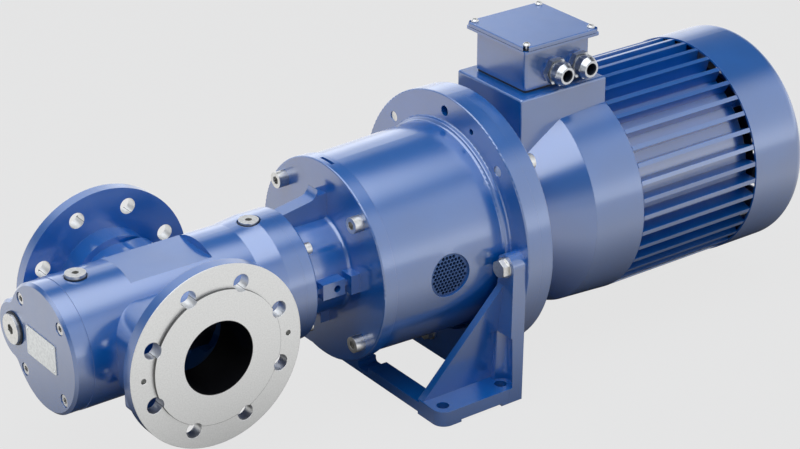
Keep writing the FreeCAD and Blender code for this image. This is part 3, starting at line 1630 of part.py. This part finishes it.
def make_gland_bodies():
    inner = seal_insert_radius + fit_gap
    top = gland_hex_height + gland_body_length
    sleeve = [(inner, 0), (inner, top), (gland_neck_radius, top), (gland_neck_radius, 0)]
    body = gland_turned(sleeve, [(gland_hex_radius, 0, gland_hex_height)])
    thread = pillar(-gland_thread_length, 0, gland_thread_radius).cut(pillar(-gland_thread_length, 0, inner))
    return place_glands(body.fuse(thread))


def make_gland_nuts():
    z0 = gland_hex_height + gland_lap
    z1 = z0 + gland_nut_length
    z2 = z1 + gland_dome_length
    wall = gland_neck_radius + fit_gap
    liner = seal_insert_radius + fit_gap
    inner_top = gland_hex_height + gland_body_length + fit_gap
    mouth = cable_radius + gland_mouth_gap
    nut = gland_turned([(wall, z0), (wall, inner_top), (liner, inner_top), (liner, z2 - gland_lip),
                        (mouth, z2 - gland_lip), (mouth, z2), (gland_dome_radius, z2),
                        (gland_body_radius, z1), (gland_body_radius, z0)])
    ring = hexagon(gland_nut_radius, gland_nut_length, z0)
    ring = ring.cut(pillar(z0, z1, gland_body_radius - gland_mouth_gap))
    return place_glands(nut.fuse(ring))


def make_gland_seals():
    length = gland_hex_height + gland_lap + gland_nut_length + gland_dome_length - gland_lip - fit_gap
    return place_glands(pillar(0, length, seal_insert_radius).cut(pillar(0, length, cable_radius)))


def nodes():
    return {
        "pump_casing": make_pump_casing(),
        "end_cover": make_end_cover(),
        "cover_seal_ring": make_seal_ring(cover_joint_x + cover_spigot / 2),
        "cover_screws": make_cover_screws(),
        "nameplate": make_nameplate(),
        "nameplate_rivets": make_nameplate_rivets(),
        "gauge_plugs": make_gauge_plugs(),
        "plug_washers": make_plug_washers(),
        "relief_plug": make_relief_plug(),
        "relief_piston": make_relief_piston(),
        "relief_spring": make_relief_spring(),
        "screw_liner": make_screw_liner(),
        "power_screw": make_power_screw(),
        "idler_screw_upper": make_idler_screw(1),
        "idler_screw_lower": make_idler_screw(-1),
        "mounting_flange": make_mounting_flange(),
        "flange_seal_ring": make_seal_ring(seal_chamber_front_x + cover_spigot / 2),
        "pump_flange_screws": make_pump_flange_screws(),
        "seal_seat": make_seal_seat(),
        "seal_face_ring": make_seal_ring_rotating(),
        "seal_collar": make_seal_collar(),
        "pump_bearing_outer": pump_bearing(sealed_outer),
        "pump_bearing_inner": pump_bearing(sealed_inner),
        "bearing_retainer": make_bearing_retainer(),
        "bellhousing": make_bellhousing(),
        "bellhousing_screws": make_bellhousing_screws(),
        "vent_grilles": make_vent_grilles(),
        "foot_bracket": make_foot_bracket(),
        "foot_bolts": make_foot_bolts(),
        "foot_washers": make_foot_washers(),
        "pump_coupling_hub": make_pump_hub(),
        "motor_coupling_hub": make_motor_hub(),
        "coupling_spider": make_coupling_spider(),
        "coupling_keys": make_coupling_keys(),
        "motor_shaft": make_motor_shaft(),
        "rotor_core": make_rotor_core(),
        "stator_core": make_stator_core(),
        "stator_windings": make_windings(),
        "motor_bearing_outers": motor_bearings(sealed_outer),
        "motor_bearing_inners": motor_bearings(sealed_inner),
        "motor_front_shield": make_motor_front_shield(),
        "motor_flange_screws": make_motor_flange_screws(),
        "stator_frame": make_stator_frame(),
        "fan_end_shield": make_fan_end_shield(),
        "fan": make_fan(),
        "fan_cover": make_fan_cover(),
        "fan_cover_screws": make_fan_cover_screws(),
        "terminal_box": make_terminal_box(),
        "box_gasket": make_box_gasket(),
        "lid_gasket": make_lid_gasket(),
        "terminal_lid": make_terminal_lid(),
        "lid_screws": make_lid_screws(),
        "terminal_block": make_terminal_block(),
        "terminal_studs": make_terminal_studs(),
        "gland_bodies": make_gland_bodies(),
        "gland_nuts": make_gland_nuts(),
        "gland_seals": make_gland_seals(),
    }


def main():
    os.makedirs("parts", exist_ok=True)
    for name, shape in nodes().items():
        shape.translate(V(-foot_station_x, 0, shaft_height))
        shape.exportStep("parts/" + name + ".step")
        solids = shape.Solids
        print(name, len(solids), "valid" if shape.isValid() else "INVALID",
              round(sum(s.Volume for s in solids) / 1000, 1), "cm3")


main()
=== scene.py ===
import json
import math

import bpy
import numpy as np
from mathutils import Matrix, Vector


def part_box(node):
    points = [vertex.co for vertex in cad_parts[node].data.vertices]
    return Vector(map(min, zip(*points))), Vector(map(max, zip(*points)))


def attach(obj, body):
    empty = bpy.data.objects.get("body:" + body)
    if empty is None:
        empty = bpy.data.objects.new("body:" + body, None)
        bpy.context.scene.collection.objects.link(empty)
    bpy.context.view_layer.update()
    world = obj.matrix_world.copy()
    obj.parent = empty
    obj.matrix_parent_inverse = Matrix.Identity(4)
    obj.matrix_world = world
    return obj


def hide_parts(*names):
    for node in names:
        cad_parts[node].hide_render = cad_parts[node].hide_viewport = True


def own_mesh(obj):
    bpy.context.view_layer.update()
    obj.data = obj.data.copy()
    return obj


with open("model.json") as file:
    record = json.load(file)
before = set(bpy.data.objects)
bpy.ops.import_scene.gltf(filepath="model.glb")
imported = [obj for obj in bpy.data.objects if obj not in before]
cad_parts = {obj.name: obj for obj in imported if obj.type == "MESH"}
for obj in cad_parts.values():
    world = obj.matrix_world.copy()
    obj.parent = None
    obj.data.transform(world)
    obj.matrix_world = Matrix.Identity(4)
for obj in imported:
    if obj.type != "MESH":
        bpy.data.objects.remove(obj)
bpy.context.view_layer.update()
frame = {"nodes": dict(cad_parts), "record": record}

MM = 0.001

# Places shared with the model, in metres. The drive axis runs along +X at shaft height, and the
# axis of the two pipe ports crosses it along Y.
SHAFT_HEIGHT = 0.163
PORT_X = -0.315
PORT_BORE = 0.0404
FLANGE_RADIUS = 0.100
RAISED_RADIUS = 0.074
# Along the port axis: the back of a flange, and a plane just behind its turned face
FLANGE_BACK = 0.1035
FLANGE_FACE = 0.1163

# Noise seldom leaves this range, so the two tones of a ramp sit at its ends
NOISE_LOW, NOISE_HIGH = 0.3, 0.7

# A Mix node repeats its sockets' names for each kind of data, so they are called by number
FACTOR, NUMBER_A, NUMBER_B, COLOUR_A, COLOUR_B = 0, 2, 3, 6, 7
MIXED_COLOUR = 2


def linear(text):
    """sRGB hex colour to the linear values that a shader takes."""
    channels = [int(text[i:i + 2], 16) / 255 for i in (1, 3, 5)]
    straight = [c / 12.92 if c <= 0.04045 else ((c + 0.055) / 1.055) ** 2.4 for c in channels]
    return (*straight, 1.0)


def add(tree, kind, values):
    """Adds a node. Each value is a property, a socket's own value or colour, or the node or
    socket that feeds it; stops are the places and colours along a ramp."""
    node = tree.nodes.new("ShaderNode" + kind)
    for key, value in values.items():
        if key == "stops":
            elements = node.color_ramp.elements
            while len(elements) < len(value):
                elements.new(0.5)
            for element, (position, colour) in zip(elements, value):
                element.position = position
                element.color = linear(colour)
        elif isinstance(value, bpy.types.Node):
            tree.links.new(value.outputs[0], node.inputs[key])
        elif isinstance(value, bpy.types.NodeSocket):
            tree.links.new(value, node.inputs[key])
        elif isinstance(key, str) and hasattr(node, key):
            setattr(node, key, value)
        elif isinstance(value, str):
            node.inputs[key].default_value = linear(value)
        else:
            node.inputs[key].default_value = value
    return node


def new_material(name):
    """Empty node material and its tree."""
    material = bpy.data.materials.new(name)
    material.use_nodes = True
    material.node_tree.nodes.clear()
    return material, material.node_tree


def per_metre(size_mm):
    """Noise scale whose features are about that many millimetres across."""
    return 1000.0 / size_mm


def two_tones(low, high):
    """Ramp stops from one tone to the other over the range of a noise."""
    return [(NOISE_LOW, low), (NOISE_HIGH, high)]


# Enamel: the gloss and the clear top layer that all painted pieces share. The layer's high index
# gives the strong, slightly soft mirroring of fresh gloss paint.
ENAMEL_GLOSS = {"Specular IOR Level": 0.5, "Coat Roughness": 0.17, "Coat IOR": 2.2}


def enamel_film(tree, wave_mm, wave_depth_mm):
    """Sprayed enamel: a deep blue that drifts between two near tones from patch to patch, low waves
    of the metal under it, a fine orange peel, and paint rolled over every edge."""
    patch_mm, cloud_mm = 70.0, 22.0
    peel_mm, peel_depth_mm = 1.8, 0.01
    rolled_edge_mm = 0.8
    place = add(tree, "TexCoord", {}).outputs["Object"]
    patches = add(tree, "TexNoise", {
        "Vector": place, "Scale": per_metre(patch_mm), "Detail": 2.0})
    colour = add(tree, "ValToRGB", {"Fac": patches, "stops": two_tones("#005aa8", "#0161b4")})
    cloud = add(tree, "TexNoise", {
        "Vector": place, "Scale": per_metre(cloud_mm), "Detail": 3.0})
    roughness = add(tree, "MapRange", {"Value": cloud, "To Min": 0.3, "To Max": 0.42})
    edges = add(tree, "Bevel", {"samples": 6, "Radius": rolled_edge_mm * MM})
    waves = add(tree, "TexNoise", {"Vector": place, "Scale": per_metre(wave_mm), "Detail": 2.0})
    ground = add(tree, "Bump", {
        "Height": waves, "Distance": wave_depth_mm * MM, "Normal": edges})
    grain = add(tree, "TexNoise", {"Vector": place, "Scale": per_metre(peel_mm), "Detail": 1.0})
    peel = add(tree, "Bump", {"Height": grain, "Distance": peel_depth_mm * MM, "Normal": ground})
    return colour, roughness, peel


def enamel(name, wave_mm, wave_depth_mm):
    """Blue enamel all over a piece: deep colour under a clear gloss that mirrors softly."""
    material, tree = new_material(name)
    colour, roughness, normal = enamel_film(tree, wave_mm, wave_depth_mm)
    shader = add(tree, "BsdfPrincipled", {
        **ENAMEL_GLOSS, "Coat Weight": 1.0, "Base Color": colour, "Roughness": roughness,
        "Normal": normal})
    add(tree, "OutputMaterial", {"Surface": shader})
    return material


def casing_finish(wave_mm, wave_depth_mm):
    """Pump casing: enamelled outside, turned bare iron on the two pipe flanges and in their holes,
    and inside the ports a nearly black colour that is painted shade of the deep bores.

    The distance from the port axis and the distance along it tell the finishes apart.
    """
    material, tree = new_material("casing_finish")
    colour, roughness, normal = enamel_film(tree, wave_mm, wave_depth_mm)
    place = add(tree, "TexCoord", {}).outputs["Object"]
    part = add(tree, "SeparateXYZ", {"Vector": place})
    depth = add(tree, "Math", {"operation": "ABSOLUTE", 0: part.outputs["Y"]})
    across = add(tree, "Math", {"operation": "SUBTRACT", 0: part.outputs["X"], 1: PORT_X})
    height = add(tree, "Math", {"operation": "SUBTRACT", 0: part.outputs["Z"], 1: SHAFT_HEIGHT})
    flat = add(tree, "CombineXYZ", {"X": across, "Y": height})
    out = add(tree, "VectorMath", {"operation": "LENGTH", 0: flat}).outputs["Value"]

    # Bare: the turned face, and the holes between the flange's back and its face
    past_back = FLANGE_BACK + 0.2 * MM
    inside_rim = FLANGE_RADIUS - 1.5 * MM
    face = add(tree, "Math", {"operation": "GREATER_THAN", 0: depth, 1: FLANGE_FACE})
    in_flange = add(tree, "Math", {"operation": "GREATER_THAN", 0: depth, 1: past_back})
    off_rim = add(tree, "Math", {"operation": "LESS_THAN", 0: out, 1: inside_rim})
    drilled = add(tree, "Math", {"operation": "MULTIPLY", 0: in_flange, 1: off_rim})
    outside = add(tree, "Math", {"operation": "GREATER_THAN", 0: out, 1: PORT_BORE})
    machined = add(tree, "Math", {"operation": "MAXIMUM", 0: face, 1: drilled})
    bare = add(tree, "Math", {"operation": "MULTIPLY", 0: outside, 1: machined})
    painted = add(tree, "Math", {"operation": "SUBTRACT", 0: outside, 1: bare})

    # Painted shade: the wall of the raised face is coloured dark grey for the shade that falls on
    # it
    step_shade_mm, grain_mm = 0.25, 1.6
    painted_step_shade = add(tree, "Math", {
        "operation": "COMPARE", 0: out, 1: RAISED_RADIUS, 2: step_shade_mm * MM})
    fine = add(tree, "TexNoise", {"Vector": place, "Scale": per_metre(grain_mm), "Detail": 3.0})
    metal = add(tree, "ValToRGB", {"Fac": fine, "stops": two_tones("#d2d2d0", "#dededc")})
    metal_with_painted_shade = add(tree, "Mix", {
        "data_type": "RGBA", FACTOR: painted_step_shade, COLOUR_A: metal, COLOUR_B: "#6c6c6b"})
    # Painted shade: inside the ports the surface is coloured nearly black for the shade deep in the
    # bores
    painted_bore_shade = add(tree, "ValToRGB", {"Fac": fine, "stops": two_tones("#08080a", "#121216")})
    clad = add(tree, "Mix", {
        "data_type": "RGBA", FACTOR: bare, COLOUR_A: colour,
        COLOUR_B: metal_with_painted_shade.outputs[MIXED_COLOUR]})
    tone = add(tree, "Mix", {
        "data_type": "RGBA", FACTOR: outside, COLOUR_A: painted_bore_shade,
        COLOUR_B: clad.outputs[MIXED_COLOUR]})

    # Rings of the turning tool, twice as coarse as the real 0.8 mm feed, which wouldn't show
    ring_mm, ring_depth_mm = 1.6, 0.003
    radians_per_metre = 2 * math.pi / (ring_mm * MM)
    lathe = add(tree, "Math", {"operation": "MULTIPLY", 0: out, 1: radians_per_metre})
    rings = add(tree, "Math", {"operation": "SINE", 0: lathe})
    cut = add(tree, "Math", {"operation": "MULTIPLY", 0: rings, 1: bare})
    lay = add(tree, "Bump", {"Height": cut, "Distance": ring_depth_mm * MM, "Normal": normal})
    bare_roughness = 0.45
    rough = add(tree, "Mix", {FACTOR: bare, NUMBER_A: roughness, NUMBER_B: bare_roughness})
    shader = add(tree, "BsdfPrincipled", {
        **ENAMEL_GLOSS, "Base Color": tone.outputs[MIXED_COLOUR], "Roughness": rough,
        "Metallic": bare, "Coat Weight": painted, "Normal": lay})
    add(tree, "OutputMaterial", {"Surface": shader})
    return material


def zinc_plate():
    """Bright zinc on rolled and forged fasteners: pale grey metal with soft cloudy patches."""
    cloud_mm, edge_mm = 3.0, 0.5
    material, tree = new_material("zinc_plate")
    place = add(tree, "TexCoord", {}).outputs["Object"]
    cloud = add(tree, "TexNoise", {
        "Vector": place, "Scale": per_metre(cloud_mm), "Detail": 3.0})
    colour = add(tree, "ValToRGB", {"Fac": cloud, "stops": two_tones("#c2c1bd", "#dad9d6")})
    roughness = add(tree, "MapRange", {"Value": cloud, "To Min": 0.3, "To Max": 0.42})
    edges = add(tree, "Bevel", {"samples": 6, "Radius": edge_mm * MM})
    shader = add(tree, "BsdfPrincipled", {
        "Base Color": colour, "Roughness": roughness, "Metallic": 1.0, "Normal": edges})
    add(tree, "OutputMaterial", {"Surface": shader})
    return material


def rolled_aluminium():
    """Bare rolled aluminium plate: matt, mottled with rub marks in small cells."""
    cell_mm, cloud_mm = 3.2, 5.0
    rub_depth_mm, edge_mm = 0.015, 0.3
    material, tree = new_material("rolled_aluminium")
    place = add(tree, "TexCoord", {}).outputs["Object"]
    cells = add(tree, "TexVoronoi", {"Vector": place, "Scale": per_metre(cell_mm)})
    cloud = add(tree, "TexNoise", {
        "Vector": place, "Scale": per_metre(cloud_mm), "Detail": 3.0})
    mottle = add(tree, "Math", {
        "operation": "MULTIPLY", 0: cells.outputs["Distance"], 1: cloud.outputs["Fac"]})
    colour = add(tree, "ValToRGB", {
        "Fac": mottle, "stops": [(0.05, "#c6c8c8"), (0.4, "#dddfde")]})
    roughness = add(tree, "MapRange", {"Value": mottle, "To Min": 0.35, "To Max": 0.6})
    edges = add(tree, "Bevel", {"samples": 6, "Radius": edge_mm * MM})
    rubs = add(tree, "Bump", {
        "Height": mottle, "Distance": rub_depth_mm * MM, "Normal": edges})
    shader = add(tree, "BsdfPrincipled", {
        "Base Color": colour, "Roughness": roughness, "Metallic": 1.0, "Normal": rubs})
    add(tree, "OutputMaterial", {"Surface": shader})
    return material


def worked(name, low, high, roughness, metallic, size_mm, depth_mm):
    """A finish of two near tones in patches of a given size, with a matching small relief."""
    drift = 0.05
    material, tree = new_material(name)
    place = add(tree, "TexCoord", {}).outputs["Object"]
    grain = add(tree, "TexNoise", {"Vector": place, "Scale": per_metre(size_mm), "Detail": 3.0})
    colour = add(tree, "ValToRGB", {"Fac": grain, "stops": two_tones(low, high)})
    rough = add(tree, "MapRange", {
        "Value": grain, "To Min": roughness - drift, "To Max": roughness + drift})
    relief = add(tree, "Bump", {"Height": grain, "Distance": depth_mm * MM})
    shader = add(tree, "BsdfPrincipled", {
        "Base Color": colour, "Roughness": rough, "Metallic": metallic, "Normal": relief})
    add(tree, "OutputMaterial", {"Surface": shader})
    return material


def studio_floor():
    """Seamless pale studio floor. The camera sees mostly its own even tone, with the object's
    soft shadow, and mirrors see it pale too, with a painted shadow that dims it close to the
    object.

    The dimming follows the distance from a stretch of the drive axis seen from above.
    """
    stretch_middle, stretch_half = 0.075, 0.425
    # Share of its own even tone in what is seen of the floor; the rest takes the light and shadow
    own_tone = 0.86
    material, tree = new_material("studio_floor")
    place = add(tree, "TexCoord", {}).outputs["Object"]
    part = add(tree, "SeparateXYZ", {"Vector": place})
    along = add(tree, "Math", {
        "operation": "SUBTRACT", 0: part.outputs["X"], 1: stretch_middle})
    side = add(tree, "Math", {"operation": "ABSOLUTE", 0: along})
    past = add(tree, "Math", {"operation": "SUBTRACT", 0: side, 1: stretch_half})
    beyond = add(tree, "Math", {"operation": "MAXIMUM", 0: past, 1: 0.0})
    away = add(tree, "CombineXYZ", {"X": beyond, "Y": part.outputs["Y"]})
    distance = add(tree, "VectorMath", {"operation": "LENGTH", 0: away}).outputs["Value"]
    matt = add(tree, "BsdfPrincipled", {
        "Base Color": "#84868a", "Roughness": 0.95, "Specular IOR Level": 0.0})
    even = add(tree, "Emission", {"Color": "#f1f1f1", "Strength": 1.0})
    # Painted shadow: what mirrors see of the floor is darkened close to the pump by this distance
    # ramp
    painted_shadow_level = add(tree, "MapRange", {
        "Value": distance, "interpolation_type": "SMOOTHSTEP", "From Min": 0.02,
        "From Max": 0.42, "To Min": 0.02, "To Max": 1.45})
    floor_with_painted_shadow = add(tree, "Emission", {"Color": "#f1f1f1", "Strength": painted_shadow_level})
    path = add(tree, "LightPath", {})
    mirror = add(tree, "Math", {
        "operation": "MAXIMUM", 0: path.outputs["Is Glossy Ray"],
        1: path.outputs["Is Transmission Ray"]})
    tone = add(tree, "MixShader", {FACTOR: mirror, 1: even, 2: floor_with_painted_shadow})
    seen = add(tree, "Math", {
        "operation": "MAXIMUM", 0: path.outputs["Is Camera Ray"], 1: mirror})
    share = add(tree, "Math", {"operation": "MULTIPLY", 0: seen, 1: own_tone})
    both = add(tree, "MixShader", {FACTOR: share, 1: matt, 2: tone})
    add(tree, "OutputMaterial", {"Surface": both})
    return material


def dress(node, material):
    """Gives a CAD node one finish all over."""
    mesh = frame["nodes"][node].data
    mesh.materials.clear()
    mesh.materials.append(material)


# Sizes of the metal's waves under the enamel and their depth, in mm: rough castings, and pressed
# sheet and die-cast aluminium, whose ground is nearly flat
CAST_GROUND = (6.0, 0.05)
SHEET_GROUND = (18.0, 0.03)

# Each worked finish has its two tones, roughness, metallic, and the size and depth of its patches
# in mm. Real grains and tool marks are finer than 0.6 mm, which is the finest that shows.
finishes = {
    "blue_enamel": enamel("cast_enamel", *CAST_GROUND),
    "zinc_fasteners": zinc_plate(),
    # Satin mid grey, as the grinding wheel leaves it
    "shaft_steel": worked("ground_steel", "#8f9194", "#a9abae", 0.3, 1.0, 0.8, 0.004),
    "plate_aluminium": rolled_aluminium(),
    # Dull dark grey with shallow bore marks
    "liner_iron": worked("bored_iron", "#4b4c4e", "#606163", 0.45, 1.0, 1.2, 0.02),
    # Matt and darker still, from the open grain of grey iron
    "hub_iron": worked("turned_iron", "#3c3d3f", "#4d4e50", 0.5, 1.0, 1.5, 0.03),
    # Dull steel grey, speckled by the edges of the sheets
    "core_steel": worked("stacked_laminations", "#54565a", "#686a6e", 0.5, 1.0, 0.7, 0.03),
    # Red-brown wires, lumpy under a shiny varnish
    "winding_copper": worked("varnished_copper", "#7c3c1e", "#9a5228", 0.35, 0.8, 1.4, 0.2),
    # Smooth and nearly black
    "seal_carbon": worked("lapped_carbon", "#141416", "#1f1f22", 0.3, 0.0, 0.6, 0.01),
    # Matt blue-black
    "seal_rubber": worked("nitrile_rubber", "#131a26", "#1c2636", 0.6, 0.0, 1.0, 0.03),
    # Strong red with a soft shine
    "spider_elastomer": worked("cast_polyurethane", "#8e1c17", "#a62a22", 0.4, 0.0, 3.0, 0.03),
    # Dark navy with a soft moulded sheen
    "fan_plastic": worked("moulded_polypropylene", "#131c33", "#1b2743", 0.45, 0.0, 0.8, 0.02),
    # Even, nearly black and half matt
    "terminal_plastic": worked("pressed_resin", "#1b1b1d", "#29292b", 0.5, 0.0, 0.8, 0.02),
    # Bright warm yellow
    "terminal_brass": worked("turned_brass", "#a98948", "#c6a860", 0.3, 1.0, 0.8, 0.01),
    # Pale cool grey, bright and smooth
    "gland_nickel": worked("nickel_plate", "#abaeb2", "#c8cacd", 0.3, 1.0, 2.0, 0.01),
    # The enamel's blue on thin sheet, paler and duller
    "grille_lacquer": worked("grille_lacquer", "#35558a", "#44669c", 0.4, 0.3, 1.0, 0.02),
}
for part in frame["record"]["subparts"]:
    dress(part["node"], finishes[part["material_slot"]])

sheet_enamel = enamel("sheet_enamel", *SHEET_GROUND)
for node in ("motor_front_shield", "stator_frame", "fan_end_shield", "fan_cover", "terminal_box",
             "terminal_lid"):
    dress(node, sheet_enamel)
dress("pump_casing", casing_finish(*CAST_GROUND))


def make_spring():
    """Compression spring of the relief valve, built at one fixed length; in the pump it shortens as
    the piston lifts.

    The wire's centre after t turns is start + rise(t) along X plus R (cos a, sin a) across it, with
    a = 2 pi t. The rise is one width of the wire over the first turn and over the last, which
    closes the ends, and even between them. The skin is centre + r (cos v n + sin v b), where n
    points out from the spring's axis and b is the wire's direction crossed with n.
    """
    low, high = (np.array(corner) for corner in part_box("relief_spring"))
    wire_radius = 1.2 * MM
    turns, steps, sides = 5.5, 132, 12
    width = 2 * wire_radius
    coil_radius = (high[1] - low[1]) / 2 - wire_radius
    length = high[0] - low[0] - width
    t = np.linspace(0.0, turns, steps + 1)
    rise = np.interp(t, (0.0, 1.0, turns - 1.0, turns), (0.0, width, length - width, length))
    angle = 2 * math.pi * t
    out = np.stack([0 * t, np.cos(angle), np.sin(angle)], axis=1)
    start = np.array([low[0] + wire_radius, (low[1] + high[1]) / 2, (low[2] + high[2]) / 2])
    centre = start + coil_radius * out + np.outer(rise, (1.0, 0.0, 0.0))
    along = np.gradient(centre, axis=0)
    side = np.cross(along / np.linalg.norm(along, axis=1, keepdims=True), out)
    v = np.linspace(0.0, 2 * math.pi, sides, endpoint=False)[None, :, None]
    around_wire = np.cos(v) * out[:, None] + np.sin(v) * side[:, None]
    skin = centre[:, None] + wire_radius * around_wire

    ring = [(k, (k + 1) % sides) for k in range(sides)]
    faces = [(i * sides + a, i * sides + b, (i + 1) * sides + b, (i + 1) * sides + a)
             for i in range(steps) for a, b in ring]
    faces += [tuple(range(sides))[::-1], tuple(range(steps * sides, (steps + 1) * sides))]
    mesh = bpy.data.meshes.new("relief_valve_spring")
    mesh.from_pydata(skin.reshape(-1, 3).tolist(), [], faces)
    mesh.polygons.foreach_set("use_smooth", [len(face) == 4 for face in faces])
    mesh.materials.append(finishes["shaft_steel"])
    spring = bpy.data.objects.new("relief_valve_spring", mesh)
    bpy.context.collection.objects.link(spring)
    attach(spring, "housing")
    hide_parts("relief_spring")
    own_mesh(spring)


def make_floor():
    """Level ground under the foot, wide enough to end out of sight."""
    reach = 30.0
    corners = [(-reach, -reach, 0), (reach, -reach, 0), (reach, reach, 0), (-reach, reach, 0)]
    mesh = bpy.data.meshes.new("floor")
    mesh.from_pydata(corners, [], [(0, 1, 2, 3)])
    floor = bpy.data.objects.new("floor", mesh)
    bpy.context.collection.objects.link(floor)
    mesh.materials.append(studio_floor())


def make_camera():
    """Camera at the photograph's viewing angle, solved from the flanges and the motor."""
    photo_width, focal_pixels = 800, 2338.5
    place = (-1.38049, -1.86807, 1.2924)
    yaw, pitch = math.radians(-36.41), math.radians(-25.71)
    data = bpy.data.cameras.new("camera")
    data.sensor_width = 36.0
    data.lens = data.sensor_width * focal_pixels / photo_width
    data.clip_end = 60.0
    camera = bpy.data.objects.new("camera", data)
    bpy.context.collection.objects.link(camera)
    ahead = Vector((-math.sin(yaw) * math.cos(pitch), math.cos(yaw) * math.cos(pitch),
                    math.sin(pitch)))
    across = Vector((math.cos(yaw), math.sin(yaw), 0))
    up = across.cross(ahead)
    camera.matrix_world = Matrix((
        (across.x, up.x, -ahead.x, place[0]),
        (across.y, up.y, -ahead.y, place[1]),
        (across.z, up.z, -ahead.z, place[2]),
        (0, 0, 0, 1)))
    bpy.context.scene.camera = camera


def soft_box(place, target, size, power):
    """Large rectangular lamp aimed at a point, which mirrors don't see."""
    data = bpy.data.lights.new("soft_box", "AREA")
    data.shape = "RECTANGLE"
    data.size, data.size_y = size
    data.energy = power
    lamp = bpy.data.objects.new("soft_box", data)
    bpy.context.collection.objects.link(lamp)
    lamp.location = place
    lamp.rotation_euler = (Vector(target) - Vector(place)).to_track_quat("-Z", "Y").to_euler()
    lamp.visible_glossy = False


def make_light():
    """Studio tent. Matt surfaces get an even grey sky and one large soft box overhead. Mirrors see
    a wide window at the front right, a smaller one behind, a box overhead that leans towards the
    pump's end, and a band that pales down to the horizon. The camera sees a plain pale grey."""
    # The middle of each bright shape that mirrors see, the cosines of the angles from there at
    # which it begins and is full, and its strength
    front_window = (0.704, -0.704, 0.087), 0.58, 0.80, 1.1
    rear_window = (0.168, 0.951, 0.259), 0.82, 0.92, 1.0
    box_overhead = (-0.25, 0.0, 0.968), 0.65, 0.77, 2.7

    world = bpy.data.worlds.new("studio")
    bpy.context.scene.world = world
    world.use_nodes = True
    tree = world.node_tree
    tree.nodes.clear()
    direction = add(tree, "TexCoord", {}).outputs["Generated"]
    height = add(tree, "SeparateXYZ", {"Vector": direction}).outputs["Z"]
    mirrored = add(tree, "ValToRGB", {"Fac": height, "stops": [
        (0.0, "#ffffff"), (0.12, "#fafafa"), (0.30, "#929292"), (0.45, "#6e6e6e"),
        (0.62, "#5a5a5a"), (0.75, "#4a4a4a"), (1.0, "#4a4a4a")]})
    for middle, begins, full, strength in (front_window, rear_window, box_overhead):
        toward = add(tree, "VectorMath", {"operation": "DOT_PRODUCT", 0: direction, 1: middle})
        glow = add(tree, "MapRange", {
            "Value": toward.outputs["Value"], "interpolation_type": "SMOOTHSTEP",
            "From Min": begins, "From Max": full, "To Min": 0.0, "To Max": strength})
        mirrored = add(tree, "Math", {"operation": "ADD", 0: mirrored, 1: glow})
    matt = add(tree, "MapRange", {"Value": height, "To Min": 0.26, "To Max": 0.60})
    path = add(tree, "LightPath", {})
    level = add(tree, "Mix", {
        FACTOR: path.outputs["Is Glossy Ray"], NUMBER_A: matt, NUMBER_B: mirrored})
    light = add(tree, "Background", {"Color": "#f4f8ff", "Strength": level})
    even = add(tree, "Background", {"Color": "#e6e6e6", "Strength": 1.0})
    sky = add(tree, "MixShader", {FACTOR: path.outputs["Is Camera Ray"], 1: light, 2: even})
    add(tree, "OutputWorld", {"Surface": sky})
    soft_box(place=(-0.4, -0.5, 2.4), target=(0, 0, 0.1), size=(2.4, 1.8), power=28)


make_spring()
make_floor()
make_camera()
make_light()
bpy.context.scene.view_settings.view_transform = "Standard"
